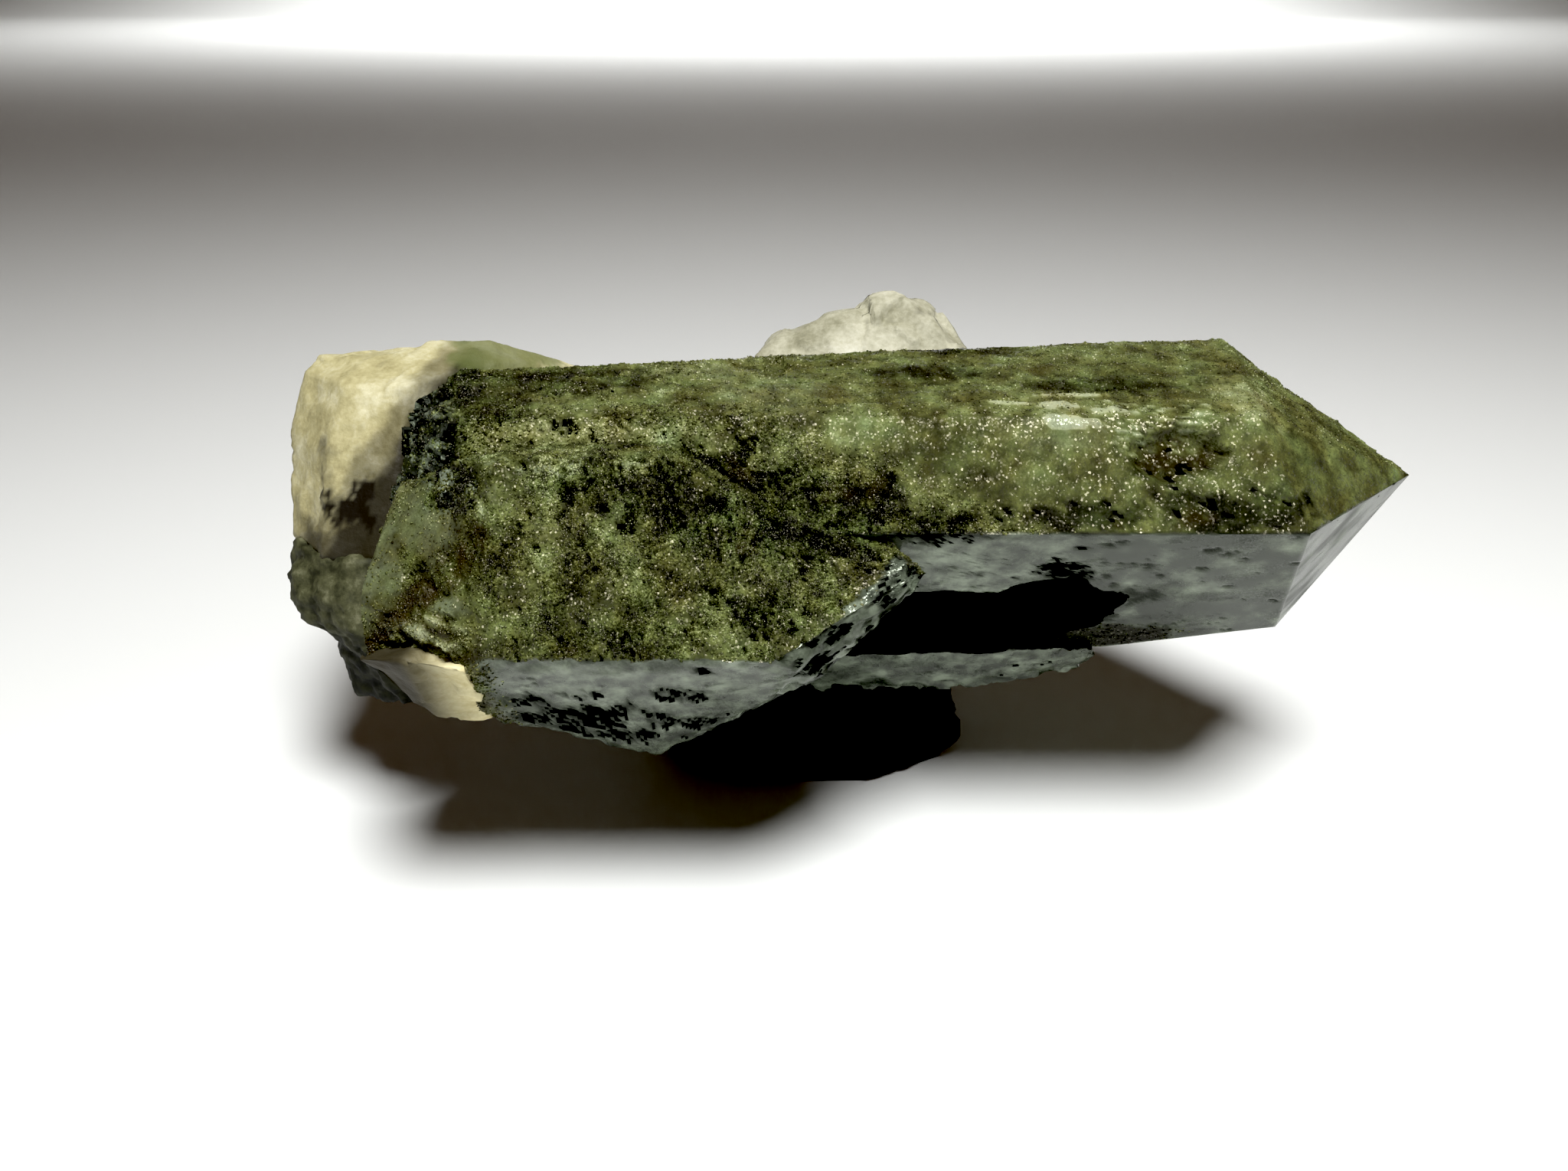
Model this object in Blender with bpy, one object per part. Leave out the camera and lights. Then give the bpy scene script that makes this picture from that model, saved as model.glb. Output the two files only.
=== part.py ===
"""A chlorite quartz cluster, as solids: two quartz crystals grown side by side on a dark foot,
with feldspar and a lump of chlorite schist grown against them.

The frame is +X along the crystals towards the pointed end, +Y away from the broad side that shows
best, +Z up, and the origin is on the table under the middle of the cluster. Sizes are millimetres
until `build_mesh` turns them into metres.
"""

import bmesh
import bpy
from mathutils import Vector, noise

MM = 0.001

# Driving dimensions: the box round the whole cluster, and the gap between pieces that touch.
LENGTH = 71.0
DEPTH = 33.0
HEIGHT = 32.4
GAP = 0.3

LEFT, RIGHT = -LENGTH / 2, LENGTH / 2
FRONT, BACK = -DEPTH / 2, DEPTH / 2
TABLE = 0.0

# The two long crystals are level prisms, so most of a ridge keeps one depth and one height.
MAIN_RIDGE = (-10.6, 24.3)
MAIN_TOP = (-7.8, 30.3)
MAIN_LOW = (-2.2, 12.3)
SIDE_RIDGE = (FRONT, 19.5)

# A solid is given by its ridges. Each ridge runs through the same number of stations, and the
# faces are stretched between neighbouring ridges. A point closes each end.
MAIN_RIDGES = (
    ((-25.0, -5.6, 29.2), (-21.3, *MAIN_TOP), (4.0, *MAIN_TOP), (23.0, *MAIN_TOP)),
    ((-25.4, -8.4, 25.6), (-21.5, *MAIN_RIDGE), (4.0, *MAIN_RIDGE), (25.9, *MAIN_RIDGE)),
    ((-24.0, -3.5, 14.5), (-19.0, *MAIN_LOW), (17.8, *MAIN_LOW), (28.1, -4.0, 14.8)),
    ((-23.0, 8.5, 14.6), (-19.0, 10.6, 13.4), (17.8, 10.6, 13.4), (26.6, 8.8, 15.4)),
    ((-24.0, 12.0, 20.6), (-20.0, 13.8, 19.6), (4.0, 13.8, 19.6), (24.4, 12.8, 20.2)),
    ((-25.4, -1.4, 30.4), (-23.6, -1.4, 31.0), (4.0, 2.0, 31.3), (24.5, 4.0, 31.5)),
)
MAIN_BREAK = (-26.0, 1.5, 23.0)
MAIN_TIP = (RIGHT, -1.7, 24.3)

SIDE_RIDGES = (
    ((-25.0, -8.6, 26.4), (-18.6, -11.9, 29.2), (-9.5, -11.8, 29.4), (-3.9, -10.7, 25.6), (3.0, -11.4, 23.6)),
    (
        (-26.6, -13.0, 21.6), (-19.8, *SIDE_RIDGE), (-11.0, *SIDE_RIDGE),
        (-3.7, *SIDE_RIDGE), (3.6, -12.5, 22.6),
    ),
    ((-26.1, -14.6, 18.4), (-20.2, -11.9, 12.8), (-11.3, -8.1, 7.5), (-1.1, -14.0, 17.0), (3.8, -12.6, 21.6)),
    ((-24.4, -7.0, 16.6), (-18.0, -3.0, 10.4), (-11.0, -2.0, 8.4), (-1.0, -6.0, 13.6), (2.8, -8.0, 20.0)),
    ((-24.0, -4.6, 26.0), (-18.0, -6.0, 28.4), (-10.0, -6.0, 28.6), (-3.0, -7.0, 25.0), (2.4, -8.0, 23.0)),
)
SIDE_BREAK = (-26.9, -10.6, 21.4)
SIDE_TIP = (4.6, -11.6, 22.4)

LEDGE_RIDGES = (
    ((-3.0, -4.4, 13.8), (10.0, -3.9, 13.2), (16.8, -3.5, 12.9)),
    ((-3.0, -0.6, 8.4), (9.0, -0.6, 8.8), (16.2, -1.4, 10.4)),
    ((-3.0, 4.0, 10.0), (9.0, 4.0, 10.4), (15.6, 3.0, 11.6)),
    ((-3.0, 4.0, 15.0), (9.0, 4.0, 15.0), (16.0, 3.0, 14.6)),
)
LEDGE_START = (-4.0, 2.0, 12.0)
LEDGE_END = (17.3, -2.4, 11.8)

# The foot stands on the table on one flat broken face, so its first station is level.
FOOT_RIDGES = (
    ((-12.0, 3.4, TABLE), (-12.4, 3.0, 2.4), (-11.4, 1.0, 8.0), (-10.0, 1.0, 15.0)),
    ((-6.4, -0.4, TABLE), (-6.6, -1.0, 2.0), (-6.0, -1.6, 8.4), (-5.0, -1.0, 15.0)),
    ((2.6, -0.2, TABLE), (2.8, -0.8, 2.2), (2.0, -0.4, 8.0), (2.0, 0.0, 15.0)),
    ((8.2, 2.8, TABLE), (9.1, 2.8, 2.2), (7.4, 1.6, 8.0), (6.0, 2.0, 15.0)),
    ((9.0, 9.0, TABLE), (9.8, 9.0, 2.0), (8.0, 8.6, 8.4), (6.6, 6.4, 15.0)),
    ((3.0, 13.4, TABLE), (3.4, 14.0, 2.4), (2.6, 11.2, 8.0), (2.0, 7.6, 15.0)),
    ((-7.0, 13.6, TABLE), (-7.6, 14.4, 2.0), (-6.6, 11.6, 8.0), (-5.0, 7.6, 15.0)),
    ((-12.6, 9.6, TABLE), (-13.4, 9.8, 2.2), (-11.8, 8.4, 8.2), (-10.0, 6.4, 15.0)),
)
FOOT_BASE = (-2.0, 7.0, TABLE)
FOOT_TOP = (-2.0, 5.0, 16.0)

# The hollow under the overhanging upper band of the main crystal's low face.
HOLLOW_RIDGES = (
    ((0.5, -8.2, 17.8), (7.0, -7.8, 17.6), (13.5, -8.8, 18.6)),
    ((0.5, -2.0, 18.6), (7.0, -1.8, 18.4), (13.5, -4.4, 18.6)),
    ((0.5, 0.6, 15.4), (7.0, 0.4, 15.2), (13.5, -3.0, 15.6)),
    ((0.5, -5.2, 12.6), (7.0, -4.8, 13.0), (13.5, -6.2, 14.4)),
)
HOLLOW_START = (-0.8, -3.6, 16.0)
HOLLOW_END = (19.6, -7.4, 17.6)

BLOCK_RIDGES = (
    ((-35.2, -0.2, 19.6), (LEFT, 3.2, 25.4), (-34.4, 4.6, 29.0), (-33.6, 5.4, 29.8)),
    ((-32.0, -4.0, 19.6), (-31.5, -1.5, 25.4), (-30.5, 1.0, 29.2), (-30.0, 4.0, 29.9)),
    ((-27.5, -4.5, 19.6), (-27.0, -2.0, 25.4), (-26.5, 0.6, 29.4), (-26.5, 7.0, 30.3)),
    ((-22.0, 0.0, 19.6), (-22.0, 2.0, 25.4), (-22.0, 6.0, 29.4), (-23.0, 8.0, 30.1)),
    ((-14.0, 14.0, 20.0), (-13.0, 14.0, 23.4), (-16.0, 12.0, 26.4), (-20.6, 9.6, 28.8)),
    ((-15.0, 16.0, 20.0), (-14.0, BACK, 23.4), (-17.0, 15.0, 25.8), (-20.6, 12.0, 27.6)),
    ((-26.0, 16.2, 20.0), (-26.0, BACK, 24.4), (-26.0, 15.5, 26.8), (-26.0, 13.0, 28.0)),
    ((-34.0, 11.0, 19.6), (-34.6, 12.0, 25.4), (-33.6, 11.5, 27.6), (-32.6, 10.6, 28.4)),
)
BLOCK_BASE = (-26.0, 7.0, 19.3)
BLOCK_TOP = (-27.0, 9.5, 29.3)

LUMP_RIDGES = (
    ((-31.6, -1.0, 9.6), (-32.4, 0.4, 13.4), (-34.6, -0.8, 15.4), (LEFT, -1.0, 17.4), (-34.8, -0.4, 18.9)),
    ((-31.2, -3.6, 9.6), (-31.6, -3.6, 13.4), (-33.6, -3.4, 15.4), (-34.2, -3.2, 17.2), (-33.4, -3.0, 18.9)),
    ((-28.0, -5.0, 9.8), (-29.0, -6.0, 13.0), (-30.0, -6.2, 15.2), (-30.4, -6.0, 17.0), (-30.0, -5.0, 18.9)),
    ((-23.0, -3.0, 9.8), (-22.0, -4.0, 13.0), (-22.0, -5.0, 15.0), (-22.0, -5.0, 17.0), (-23.0, -4.6, 18.9)),
    ((-22.0, 5.0, 9.8), (-21.0, 8.0, 13.0), (-21.0, 11.0, 15.0), (-21.0, 12.0, 17.0), (-21.0, 12.0, 18.2)),
    ((-28.0, 7.0, 10.0), (-28.0, 11.0, 13.0), (-29.0, 13.0, 15.0), (-29.0, 14.6, 17.0), (-29.0, 14.0, 18.2)),
    ((-32.0, 3.0, 10.0), (-33.0, 5.0, 13.4), (-34.6, 5.0, 15.4), (-34.8, 5.0, 17.0), (-34.6, 6.0, 18.9)),
)
LUMP_BASE = (-28.0, 0.5, 8.6)
LUMP_TOP = (-28.0, 3.0, 18.4)

REAR_RIDGES = (
    ((-5.0, 11.5, 13.0), (-7.0, 9.0, 23.0), (-5.2, 9.6, 28.5), (-3.6, 10.6, 29.5)),
    ((1.0, 9.0, 13.0), (0.0, 6.5, 24.0), (1.0, 7.2, 28.5), (2.0, 10.8, 31.2)),
    ((10.5, 9.5, 13.0), (11.0, 7.5, 23.0), (9.3, 8.6, 28.5), (5.2, 11.6, 32.1)),
    ((12.0, 15.0, 13.0), (12.2, 14.6, 23.0), (9.9, 13.2, 28.3), (6.4, 12.6, 31.6)),
    ((4.0, 16.2, 12.4), (4.5, BACK, 24.0), (4.5, 15.6, 28.4), (4.0, 13.4, 31.4)),
    ((-5.0, 15.8, 13.0), (-6.4, 15.6, 23.0), (-4.6, 14.6, 28.0), (-2.6, 12.4, 29.8)),
)
REAR_BASE = (3.4, 13.6, 12.0)
REAR_TIP = (4.2, 12.3, HEIGHT)

LOBE_RIDGES = (
    ((-26.2, -14.9, 18.7), (-23.5, -15.7, 19.0), (-20.6, -16.0, 18.3)),
    ((-25.9, -14.4, 17.6), (-23.1, -13.6, 14.2), (-20.4, -12.0, 13.0)),
    ((-25.0, -9.0, 16.4), (-22.8, -7.5, 13.4), (-20.6, -6.8, 11.8)),
    ((-25.2, -10.0, 18.4), (-23.0, -9.6, 18.6), (-20.8, -9.0, 17.8)),
)
LOBE_START = (-26.5, -13.5, 18.1)
LOBE_END = (-20.0, -12.0, 15.5)

# A socket is its neighbour's shape pushed out by this much. A slanting face moves out by less than
# its ridges do, so this is wider than the gap it has to leave.
SOCKET = GAP * 1.6

# Broken mineral is split into smaller facets: cuts in each edge, how far a point strays, and the
# size of the lumps that the straying makes.
FACET_CUTS = 1
STRAY = 0.5
LUMP_SIZE = 3.0
SEED_SHIFT = Vector((7.3, 3.1, 5.7))

# A point lower than this above the table belongs to the flat face that the cluster rests on.
TOUCH = 0.01

GREEN = (0.075, 0.090, 0.030, 1.0)
CREAM = (0.520, 0.450, 0.260, 1.0)
GREY_GREEN = (0.072, 0.070, 0.040, 1.0)


def clear_scene():
    for obj in list(bpy.data.objects):
        bpy.data.objects.remove(obj, do_unlink=True)


def make_material(name, colour, roughness):
    material = bpy.data.materials.new(name)
    material.use_nodes = True
    shader = material.node_tree.nodes["Principled BSDF"]
    shader.inputs["Base Color"].default_value = colour
    shader.inputs["Roughness"].default_value = roughness
    shader.inputs["Metallic"].default_value = 0.0
    return material


def push_out(rim, amount):
    """Moves the points of one rim away from its middle."""
    middle = sum(rim, Vector()) / len(rim)
    return [point + (point - middle).normalized() * amount for point in rim]


def build_mesh(name, ridges, start, end, grow=0.0):
    """A closed solid stretched between ridges, with a point at each end. grow makes it larger."""
    rims = [[Vector(ridge[station]) for ridge in ridges] for station in range(len(ridges[0]))]
    start, end = Vector(start), Vector(end)
    axis = (end - start).normalized() * grow
    start, end = start - axis, end + axis
    rims = [push_out(rim, grow) for rim in rims]
    shape = bmesh.new()
    rows = [[shape.verts.new(point * MM) for point in rim] for rim in rims]
    first = shape.verts.new(start * MM)
    last = shape.verts.new(end * MM)
    count = len(ridges)
    for column in range(count):
        beside = (column + 1) % count
        shape.faces.new((first, rows[0][beside], rows[0][column]))
        shape.faces.new((last, rows[-1][column], rows[-1][beside]))
        for below, above in zip(rows, rows[1:]):
            shape.faces.new((below[column], below[beside], above[beside], above[column]))
    bmesh.ops.triangulate(shape, faces=shape.faces)
    bmesh.ops.recalc_face_normals(shape, faces=shape.faces)
    mesh = bpy.data.meshes.new(name)
    shape.to_mesh(mesh)
    shape.free()
    return mesh


def hew(mesh, seed):
    """Splits the faces and strays the new points, as broken mineral does, inside the cluster's box.

    The given corners stay where they are, and so does what stands on the table.
    """
    shape = bmesh.new()
    shape.from_mesh(mesh)
    corners = len(shape.verts)
    bmesh.ops.subdivide_edges(shape, edges=shape.edges, cuts=FACET_CUTS, use_grid_fill=True)
    offset = SEED_SHIFT * seed
    shape.verts.ensure_lookup_table()
    for vert in shape.verts[corners:]:
        point = vert.co / MM
        if point.z > TABLE + TOUCH:
            point += noise.noise_vector(point / LUMP_SIZE + offset) * STRAY
            point.x = max(point.x, LEFT)
            point.y = min(point.y, BACK)
            point.z = min(point.z, HEIGHT)
            vert.co = point * MM
    bmesh.ops.triangulate(shape, faces=shape.faces)
    bmesh.ops.recalc_face_normals(shape, faces=shape.faces)
    shape.to_mesh(mesh)
    shape.free()


def add_piece(name, mesh, material):
    obj = bpy.data.objects.new(name, mesh)
    obj.data.materials.append(material)
    bpy.context.scene.collection.objects.link(obj)
    return obj


def add_helper(name, mesh):
    """A shape that joins or cuts a piece and is not itself a piece."""
    obj = bpy.data.objects.new(name, mesh)
    obj.hide_render = True
    obj.display_type = "WIRE"
    bpy.context.scene.collection.objects.link(obj)
    return obj


def combine(piece, helper, operation):
    modifier = piece.modifiers.new(helper.name, "BOOLEAN")
    modifier.object = helper
    modifier.operation = operation


def build_quartz(material):
    """The main crystal, the side crystal, the ledge and the foot overlap, so they are one solid."""
    quartz = add_piece("quartz_crystals", build_mesh("main", MAIN_RIDGES, MAIN_BREAK, MAIN_TIP), material)
    foot = build_mesh("foot", FOOT_RIDGES, FOOT_BASE, FOOT_TOP)
    hew(foot, seed=1)
    grown = (
        ("side_crystal", build_mesh("side", SIDE_RIDGES, SIDE_BREAK, SIDE_TIP)),
        ("ledge", build_mesh("ledge", LEDGE_RIDGES, LEDGE_START, LEDGE_END)),
        ("foot", foot),
    )
    for name, mesh in grown:
        combine(quartz, add_helper(name, mesh), "UNION")
    hollow = build_mesh("hollow", HOLLOW_RIDGES, HOLLOW_START, HOLLOW_END)
    combine(quartz, add_helper("hollow_cutter", hollow), "DIFFERENCE")
    socket = build_mesh("lobe_socket", LOBE_RIDGES, LOBE_START, LOBE_END, grow=SOCKET)
    combine(quartz, add_helper("lobe_socket", socket), "DIFFERENCE")


def build_neighbours(feldspar, schist):
    """The minerals beside the quartz, each cut back to a hair's gap from what it grew against."""
    main = build_mesh("main_socket", MAIN_RIDGES, MAIN_BREAK, MAIN_TIP, grow=SOCKET)
    side = build_mesh("side_socket", SIDE_RIDGES, SIDE_BREAK, SIDE_TIP, grow=SOCKET)
    sockets = [add_helper("main_socket", main), add_helper("side_socket", side)]
    pieces = (
        ("feldspar_block", BLOCK_RIDGES, BLOCK_BASE, BLOCK_TOP, feldspar),
        ("feldspar_rear", REAR_RIDGES, REAR_BASE, REAR_TIP, feldspar),
        ("chlorite_lump", LUMP_RIDGES, LUMP_BASE, LUMP_TOP, schist),
    )
    for seed, (name, ridges, base, top, material) in enumerate(pieces, start=2):
        mesh = build_mesh(name, ridges, base, top)
        hew(mesh, seed)
        piece = add_piece(name, mesh, material)
        for socket in sockets:
            combine(piece, socket, "DIFFERENCE")
    lobe = build_mesh("feldspar_lobe", LOBE_RIDGES, LOBE_START, LOBE_END)
    add_piece("feldspar_lobe", lobe, feldspar)


def build_part():
    clear_scene()
    build_quartz(make_material("chlorite_quartz", GREEN, 0.25))
    feldspar = make_material("feldspar", CREAM, 0.55)
    build_neighbours(feldspar, make_material("chlorite_schist", GREY_GREEN, 0.6))


build_part()
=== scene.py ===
"""The looks of a chlorite quartz cluster.

Two quartz crystals, filled and dusted with green chlorite, have grown side by side on a foot, which
is painted black as the shade under them.
Cream feldspar and a lump of chlorite schist have grown against their broken end.

Shapes are worked out in millimetres and turned into metres when a mesh is written. Each mineral
mass is a skin stretched between a few ridges, then roughened along its own normals.
"""

import logging
import math
from collections.abc import Sequence
from dataclasses import dataclass
from enum import Enum

import bpy
import numpy as np
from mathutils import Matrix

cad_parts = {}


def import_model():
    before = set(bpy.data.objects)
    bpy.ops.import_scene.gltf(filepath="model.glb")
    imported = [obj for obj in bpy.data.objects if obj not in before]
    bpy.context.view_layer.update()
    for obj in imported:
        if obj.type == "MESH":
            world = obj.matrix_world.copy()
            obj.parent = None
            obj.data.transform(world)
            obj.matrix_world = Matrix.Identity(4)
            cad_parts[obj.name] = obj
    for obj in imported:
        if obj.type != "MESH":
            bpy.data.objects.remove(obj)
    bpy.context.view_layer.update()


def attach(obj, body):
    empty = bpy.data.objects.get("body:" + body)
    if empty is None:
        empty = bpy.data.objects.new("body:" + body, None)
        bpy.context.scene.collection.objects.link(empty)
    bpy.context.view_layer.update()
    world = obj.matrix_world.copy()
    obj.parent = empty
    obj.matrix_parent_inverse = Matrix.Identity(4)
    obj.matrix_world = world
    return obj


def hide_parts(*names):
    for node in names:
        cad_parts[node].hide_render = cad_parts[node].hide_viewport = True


log = logging.getLogger("chlorite_quartz")

Array = np.ndarray
Point = tuple[float, float, float]
Ridge = tuple[Point, ...]

# The fields that a mesh can have: moss is how much green chlorite covers it, crust how grainy that
# is, tone its shade, rust its brown stain, soot its black, both black chlorite and painted shade,
# haze how cloudy it is, and on the bare low faces a painted reflection of the pale floor, and glaze
# its gloss.
Fields = dict[str, Array]

# A colour ramp's stops: places from 0 to 1, each with an sRGB colour.
Ramp = tuple[tuple[float, str], ...]

MM = 0.001
ROOT = "root"
SLOPE_COUNT = 4096
LAYER_SEED = 31
NOISE_GAIN = 1.7
COARSE = 4


class Slot(Enum):
    """The material slots."""

    QUARTZ = "chlorite_quartz"
    FELDSPAR = "feldspar"
    SCHIST = "chlorite_schist"


# Noise on arrays of points


def hashed(lattice: Array, seed: int) -> Array:
    """Gives each whole-numbered lattice point a fixed pseudo-random number.

    The three indices are multiplied by large odd numbers, combined with exclusive or, and mixed.

    Args:
        lattice: Lattice indices, shape (..., 3), whole numbers.
        seed: Picks one of many unrelated lattices.

    Returns:
        Whole numbers from 0 up to 2 to the power 32, shape (...).
    """
    primes = np.array([73856093, 19349663, 83492791], np.uint32)
    mixed = np.bitwise_xor.reduce(lattice.astype(np.int32).astype(np.uint32) * primes, axis=-1)
    mixed = mixed + np.uint32((seed * 2654435 + 1013) % 2**32)
    for multiplier in (1274126177, 2246822519):
        mixed = (mixed ^ (mixed >> np.uint32(15))) * np.uint32(multiplier)
    return mixed ^ (mixed >> np.uint32(16))


def random_slopes() -> Array:
    """A fixed table of random unit vectors, shape (SLOPE_COUNT, 3)."""
    slopes = np.random.default_rng(11).normal(size=(SLOPE_COUNT, 3))
    return slopes / np.linalg.norm(slopes, axis=1, keepdims=True)


SLOPES = random_slopes()


def noise(points: Array, size: float, seed: int) -> Array:
    """Gradient noise: a random slope at each lattice point, blended by a smooth step between them.

    Args:
        points: Positions in millimetres, shape (..., 3).
        size: The lattice spacing in millimetres, about the width of one lump.
        seed: Picks the pattern.

    Returns:
        Numbers from about -1 to 1, shape (...).
    """
    scaled = points / size
    low = np.floor(scaled)
    part = scaled - low
    fade = part * part * part * (part * (part * 6 - 15) + 10)
    total = np.zeros(points.shape[:-1])
    for corner in np.ndindex(2, 2, 2):
        place = np.array(corner)
        weight = np.prod(np.where(place == 1, fade, 1 - fade), axis=-1)
        slope = SLOPES[hashed(low + place, seed) % SLOPE_COUNT]
        total += weight * np.einsum("...k,...k->...", slope, part - place)
    return total * NOISE_GAIN


def fractal(points: Array, size: float, seed: int, octaves: int = 4, gain: float = 0.5) -> Array:
    """Sums layers of noise, each half the size of the last and gain times as strong.

    Args:
        points: Positions in millimetres, shape (..., 3).
        size: The lump size of the first layer in millimetres.
        seed: Picks the pattern.
        octaves: How many layers.
        gain: How much weaker each layer is than the one before.

    Returns:
        Numbers within about -1 to 1, shape (...).
    """
    total = np.zeros(points.shape[:-1])
    weight, reach = 1.0, 0.0
    for octave in range(octaves):
        total += weight * noise(points, size / 2**octave, seed + octave * LAYER_SEED)
        reach += weight * weight
        weight *= gain
    return total / math.sqrt(reach)


def shards(points: Array, size: float, seed: int) -> tuple[Array, Array]:
    """Splits space into cells round random sites, each cell with a tilted plane of its own.

    The height in a cell is its random slope times the way from its site, as on broken mineral.

    Args:
        points: Positions in millimetres, shape (..., 3).
        size: The cells' width in millimetres.
        seed: Picks the sites.

    Returns:
        The height in millimetres for a slope of up to 1, and the cell's own number from 0 to 1.
    """
    scaled = points / size
    low = np.floor(scaled)
    nearest = np.full(points.shape[:-1], 9.0)
    height = np.zeros(points.shape[:-1])
    label = np.zeros(points.shape[:-1])
    for corner in np.ndindex(3, 3, 3):
        cell = low + np.array(corner) - 1
        picked = hashed(cell, seed)
        slope = SLOPES[picked % SLOPE_COUNT]
        away = scaled - cell - 0.5 - 0.5 * SLOPES[picked // SLOPE_COUNT % SLOPE_COUNT]
        gap = np.linalg.norm(away, axis=-1)
        closer = gap < nearest
        nearest = np.where(closer, gap, nearest)
        height = np.where(closer, np.einsum("...k,...k->...", slope, away), height)
        label = np.where(closer, picked / 2.0**32, label)
    return height * size, label


def unit(value: Array) -> Array:
    """Holds a share within 0 and 1."""
    return np.clip(value, 0.0, 1.0)


def smooth(value: Array, low: float, high: float) -> Array:
    """A smooth step: 0 at low, 1 at high, and an S-shaped rise between them."""
    part = unit((value - low) / (high - low))
    return part * part * (3 - 2 * part)


@dataclass(frozen=True)
class Patch:
    """A ragged soft patch in the shape of an ellipsoid.

    Attributes:
        centre: Its centre in millimetres.
        radii: Its half sizes along X, Y and Z in millimetres.
        seed: Picks the edge's shape.
        ragged: How far noise pushes the edge, as a share of the radius.
    """

    centre: Point
    radii: Point
    seed: int = 0
    ragged: float = 0.45

    def on(self, points: Array) -> Array:
        """The patch's strength at each point: 1 inside, 0 outside, soft and ragged between them.

        Args:
            points: Positions in millimetres, shape (..., 3).

        Returns:
            The strength, shape (...).
        """
        reach = np.linalg.norm((points - np.array(self.centre)) / np.array(self.radii), axis=-1)
        lumps = fractal(points, min(self.radii) * 0.9 + 0.3, self.seed + 91, octaves=4, gain=0.6)
        return 1 - smooth(reach + self.ragged * lumps, 0.75, 1.15)


def patches(points: Array, *chosen: Patch) -> Array:
    """The strongest of several patches at each point."""
    return np.max([patch.on(points) for patch in chosen], axis=0)


# Skins and meshes


@dataclass(frozen=True)
class Skin:
    """A closed surface on a grid whose first and last rows are single points.

    Attributes:
        points: Grid positions in millimetres, shape (rows, columns, 3).
        side: For each column, the number of the ridge it follows plus the way to the next, 0 to 1.
        along: For each row, the number of the station it follows plus the way to the next.
    """

    points: Array
    side: Array
    along: Array

    def normals(self) -> Array:
        """Outward unit normals: the cross product of the grid's two directions at each point.

        Returns:
            The normals, shape (rows, columns, 3).
        """
        across = np.roll(self.points, -1, axis=1) - np.roll(self.points, 1, axis=1)
        lengthwise = np.gradient(self.points, axis=0)
        normal = np.cross(across, lengthwise)
        normal /= np.linalg.norm(normal, axis=-1, keepdims=True) + 1e-9
        middle = self.points.mean(axis=1, keepdims=True)
        outward = np.sum(normal * (self.points - middle)) >= 0
        return normal if outward else -normal

    def raised(self, height: Array) -> "Skin":
        """Moves each point along its normal. The two ends stay.

        Args:
            height: How far each point moves in millimetres, shape (rows, columns).

        Returns:
            The moved skin.
        """
        lifted = height.copy()
        lifted[0] = 0.0
        lifted[-1] = 0.0
        return Skin(self.points + self.normals() * lifted[..., None], self.side, self.along)

    def face(self, *numbers: int) -> Array:
        """1 on the faces with these numbers, counted by their first ridge, and 0 elsewhere."""
        chosen = np.isin(np.floor(self.side).astype(int), numbers)
        return np.broadcast_to(chosen, self.points.shape[:2]).astype(float)

    def near_ridge(self, width: float) -> Array:
        """1 on a ridge, falling off as a bell curve of this width in millimetres on both sides."""
        return np.exp(-((self.ridge_distance() / width) ** 2))

    def ridge_distance(self) -> Array:
        """The distance from each point to the nearest ridge, measured along its row.

        Returns:
            The distance in millimetres, shape (rows, columns).
        """
        ridges = self.points[:, self.side == np.floor(self.side)]
        widths = np.linalg.norm(np.roll(ridges, -1, axis=1) - ridges, axis=-1)
        number = np.floor(self.side).astype(int)
        part = self.side - number
        return np.minimum(part, 1 - part) * widths[:, number]


def steps(counts: Sequence[int]) -> Array:
    """Places along a chain of stretches: stretch number plus the way along it, ends included."""
    parts = [number + np.arange(count) / count for number, count in enumerate(counts)]
    return np.concatenate([*parts, [float(len(counts))]])


def blend_weights(places: Array, stations: int, wraps: bool) -> Array:
    """The share of each station in each place, for straight stretches between stations.

    Args:
        places: Station numbers with a fraction, shape (n,).
        stations: How many stations there are.
        wraps: Whether the last station joins the first.

    Returns:
        Shares that add to 1 along each row, shape (n, stations).
    """
    low = np.minimum(np.floor(places).astype(int), stations - (1 if wraps else 2))
    part = places - low
    weights = np.zeros((len(places), stations))
    rows = np.arange(len(places))
    weights[rows, low] = 1 - part
    weights[rows, (low + 1) % stations] += part
    return weights


def stretch(
    ridges: Sequence[Ridge], start: Point, end: Point, step: float, coarse: Sequence[int] = ()
) -> Skin:
    """Stretches a skin between ridges that run from a start point to an end point.

    A point of the skin is the straight blend of the two nearest ridges, and along each ridge the
    straight blend of the two nearest stations, so corners and ridges stay sharp. The grid spacing
    holds on average over each face and over each stretch between stations.

    Args:
        ridges: The ridges in order round the shape, each through the same number of stations.
        start: The point where all ridges begin.
        end: The point where all ridges finish.
        step: The grid spacing in millimetres.
        coarse: The faces, counted by their first ridge, whose columns are COARSE times as far apart.

    Returns:
        The skin.
    """
    inner = np.array(ridges, dtype=float)
    count = len(inner)
    first = np.tile(np.array(start, dtype=float), (count, 1, 1))
    last = np.tile(np.array(end, dtype=float), (count, 1, 1))
    corners = np.concatenate([first, inner, last], axis=1)
    widths = np.linalg.norm(np.roll(inner, -1, axis=0) - inner, axis=-1).mean(axis=1)
    lengths = np.linalg.norm(np.diff(corners, axis=1), axis=-1).mean(axis=0)
    spacing = [step * (COARSE if face in coarse else 1) for face in range(count)]
    across = [max(1, math.ceil(width / gap)) for width, gap in zip(widths, spacing)]
    side = steps(across)[:-1]
    along = steps([max(1, math.ceil(length / step)) for length in lengths])
    side_weights = blend_weights(side, count, wraps=True)
    along_weights = blend_weights(along, corners.shape[1], wraps=False)
    points = np.einsum("vs,rsk,ur->vuk", along_weights, corners, side_weights)
    return Skin(points, side, along)


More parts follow.
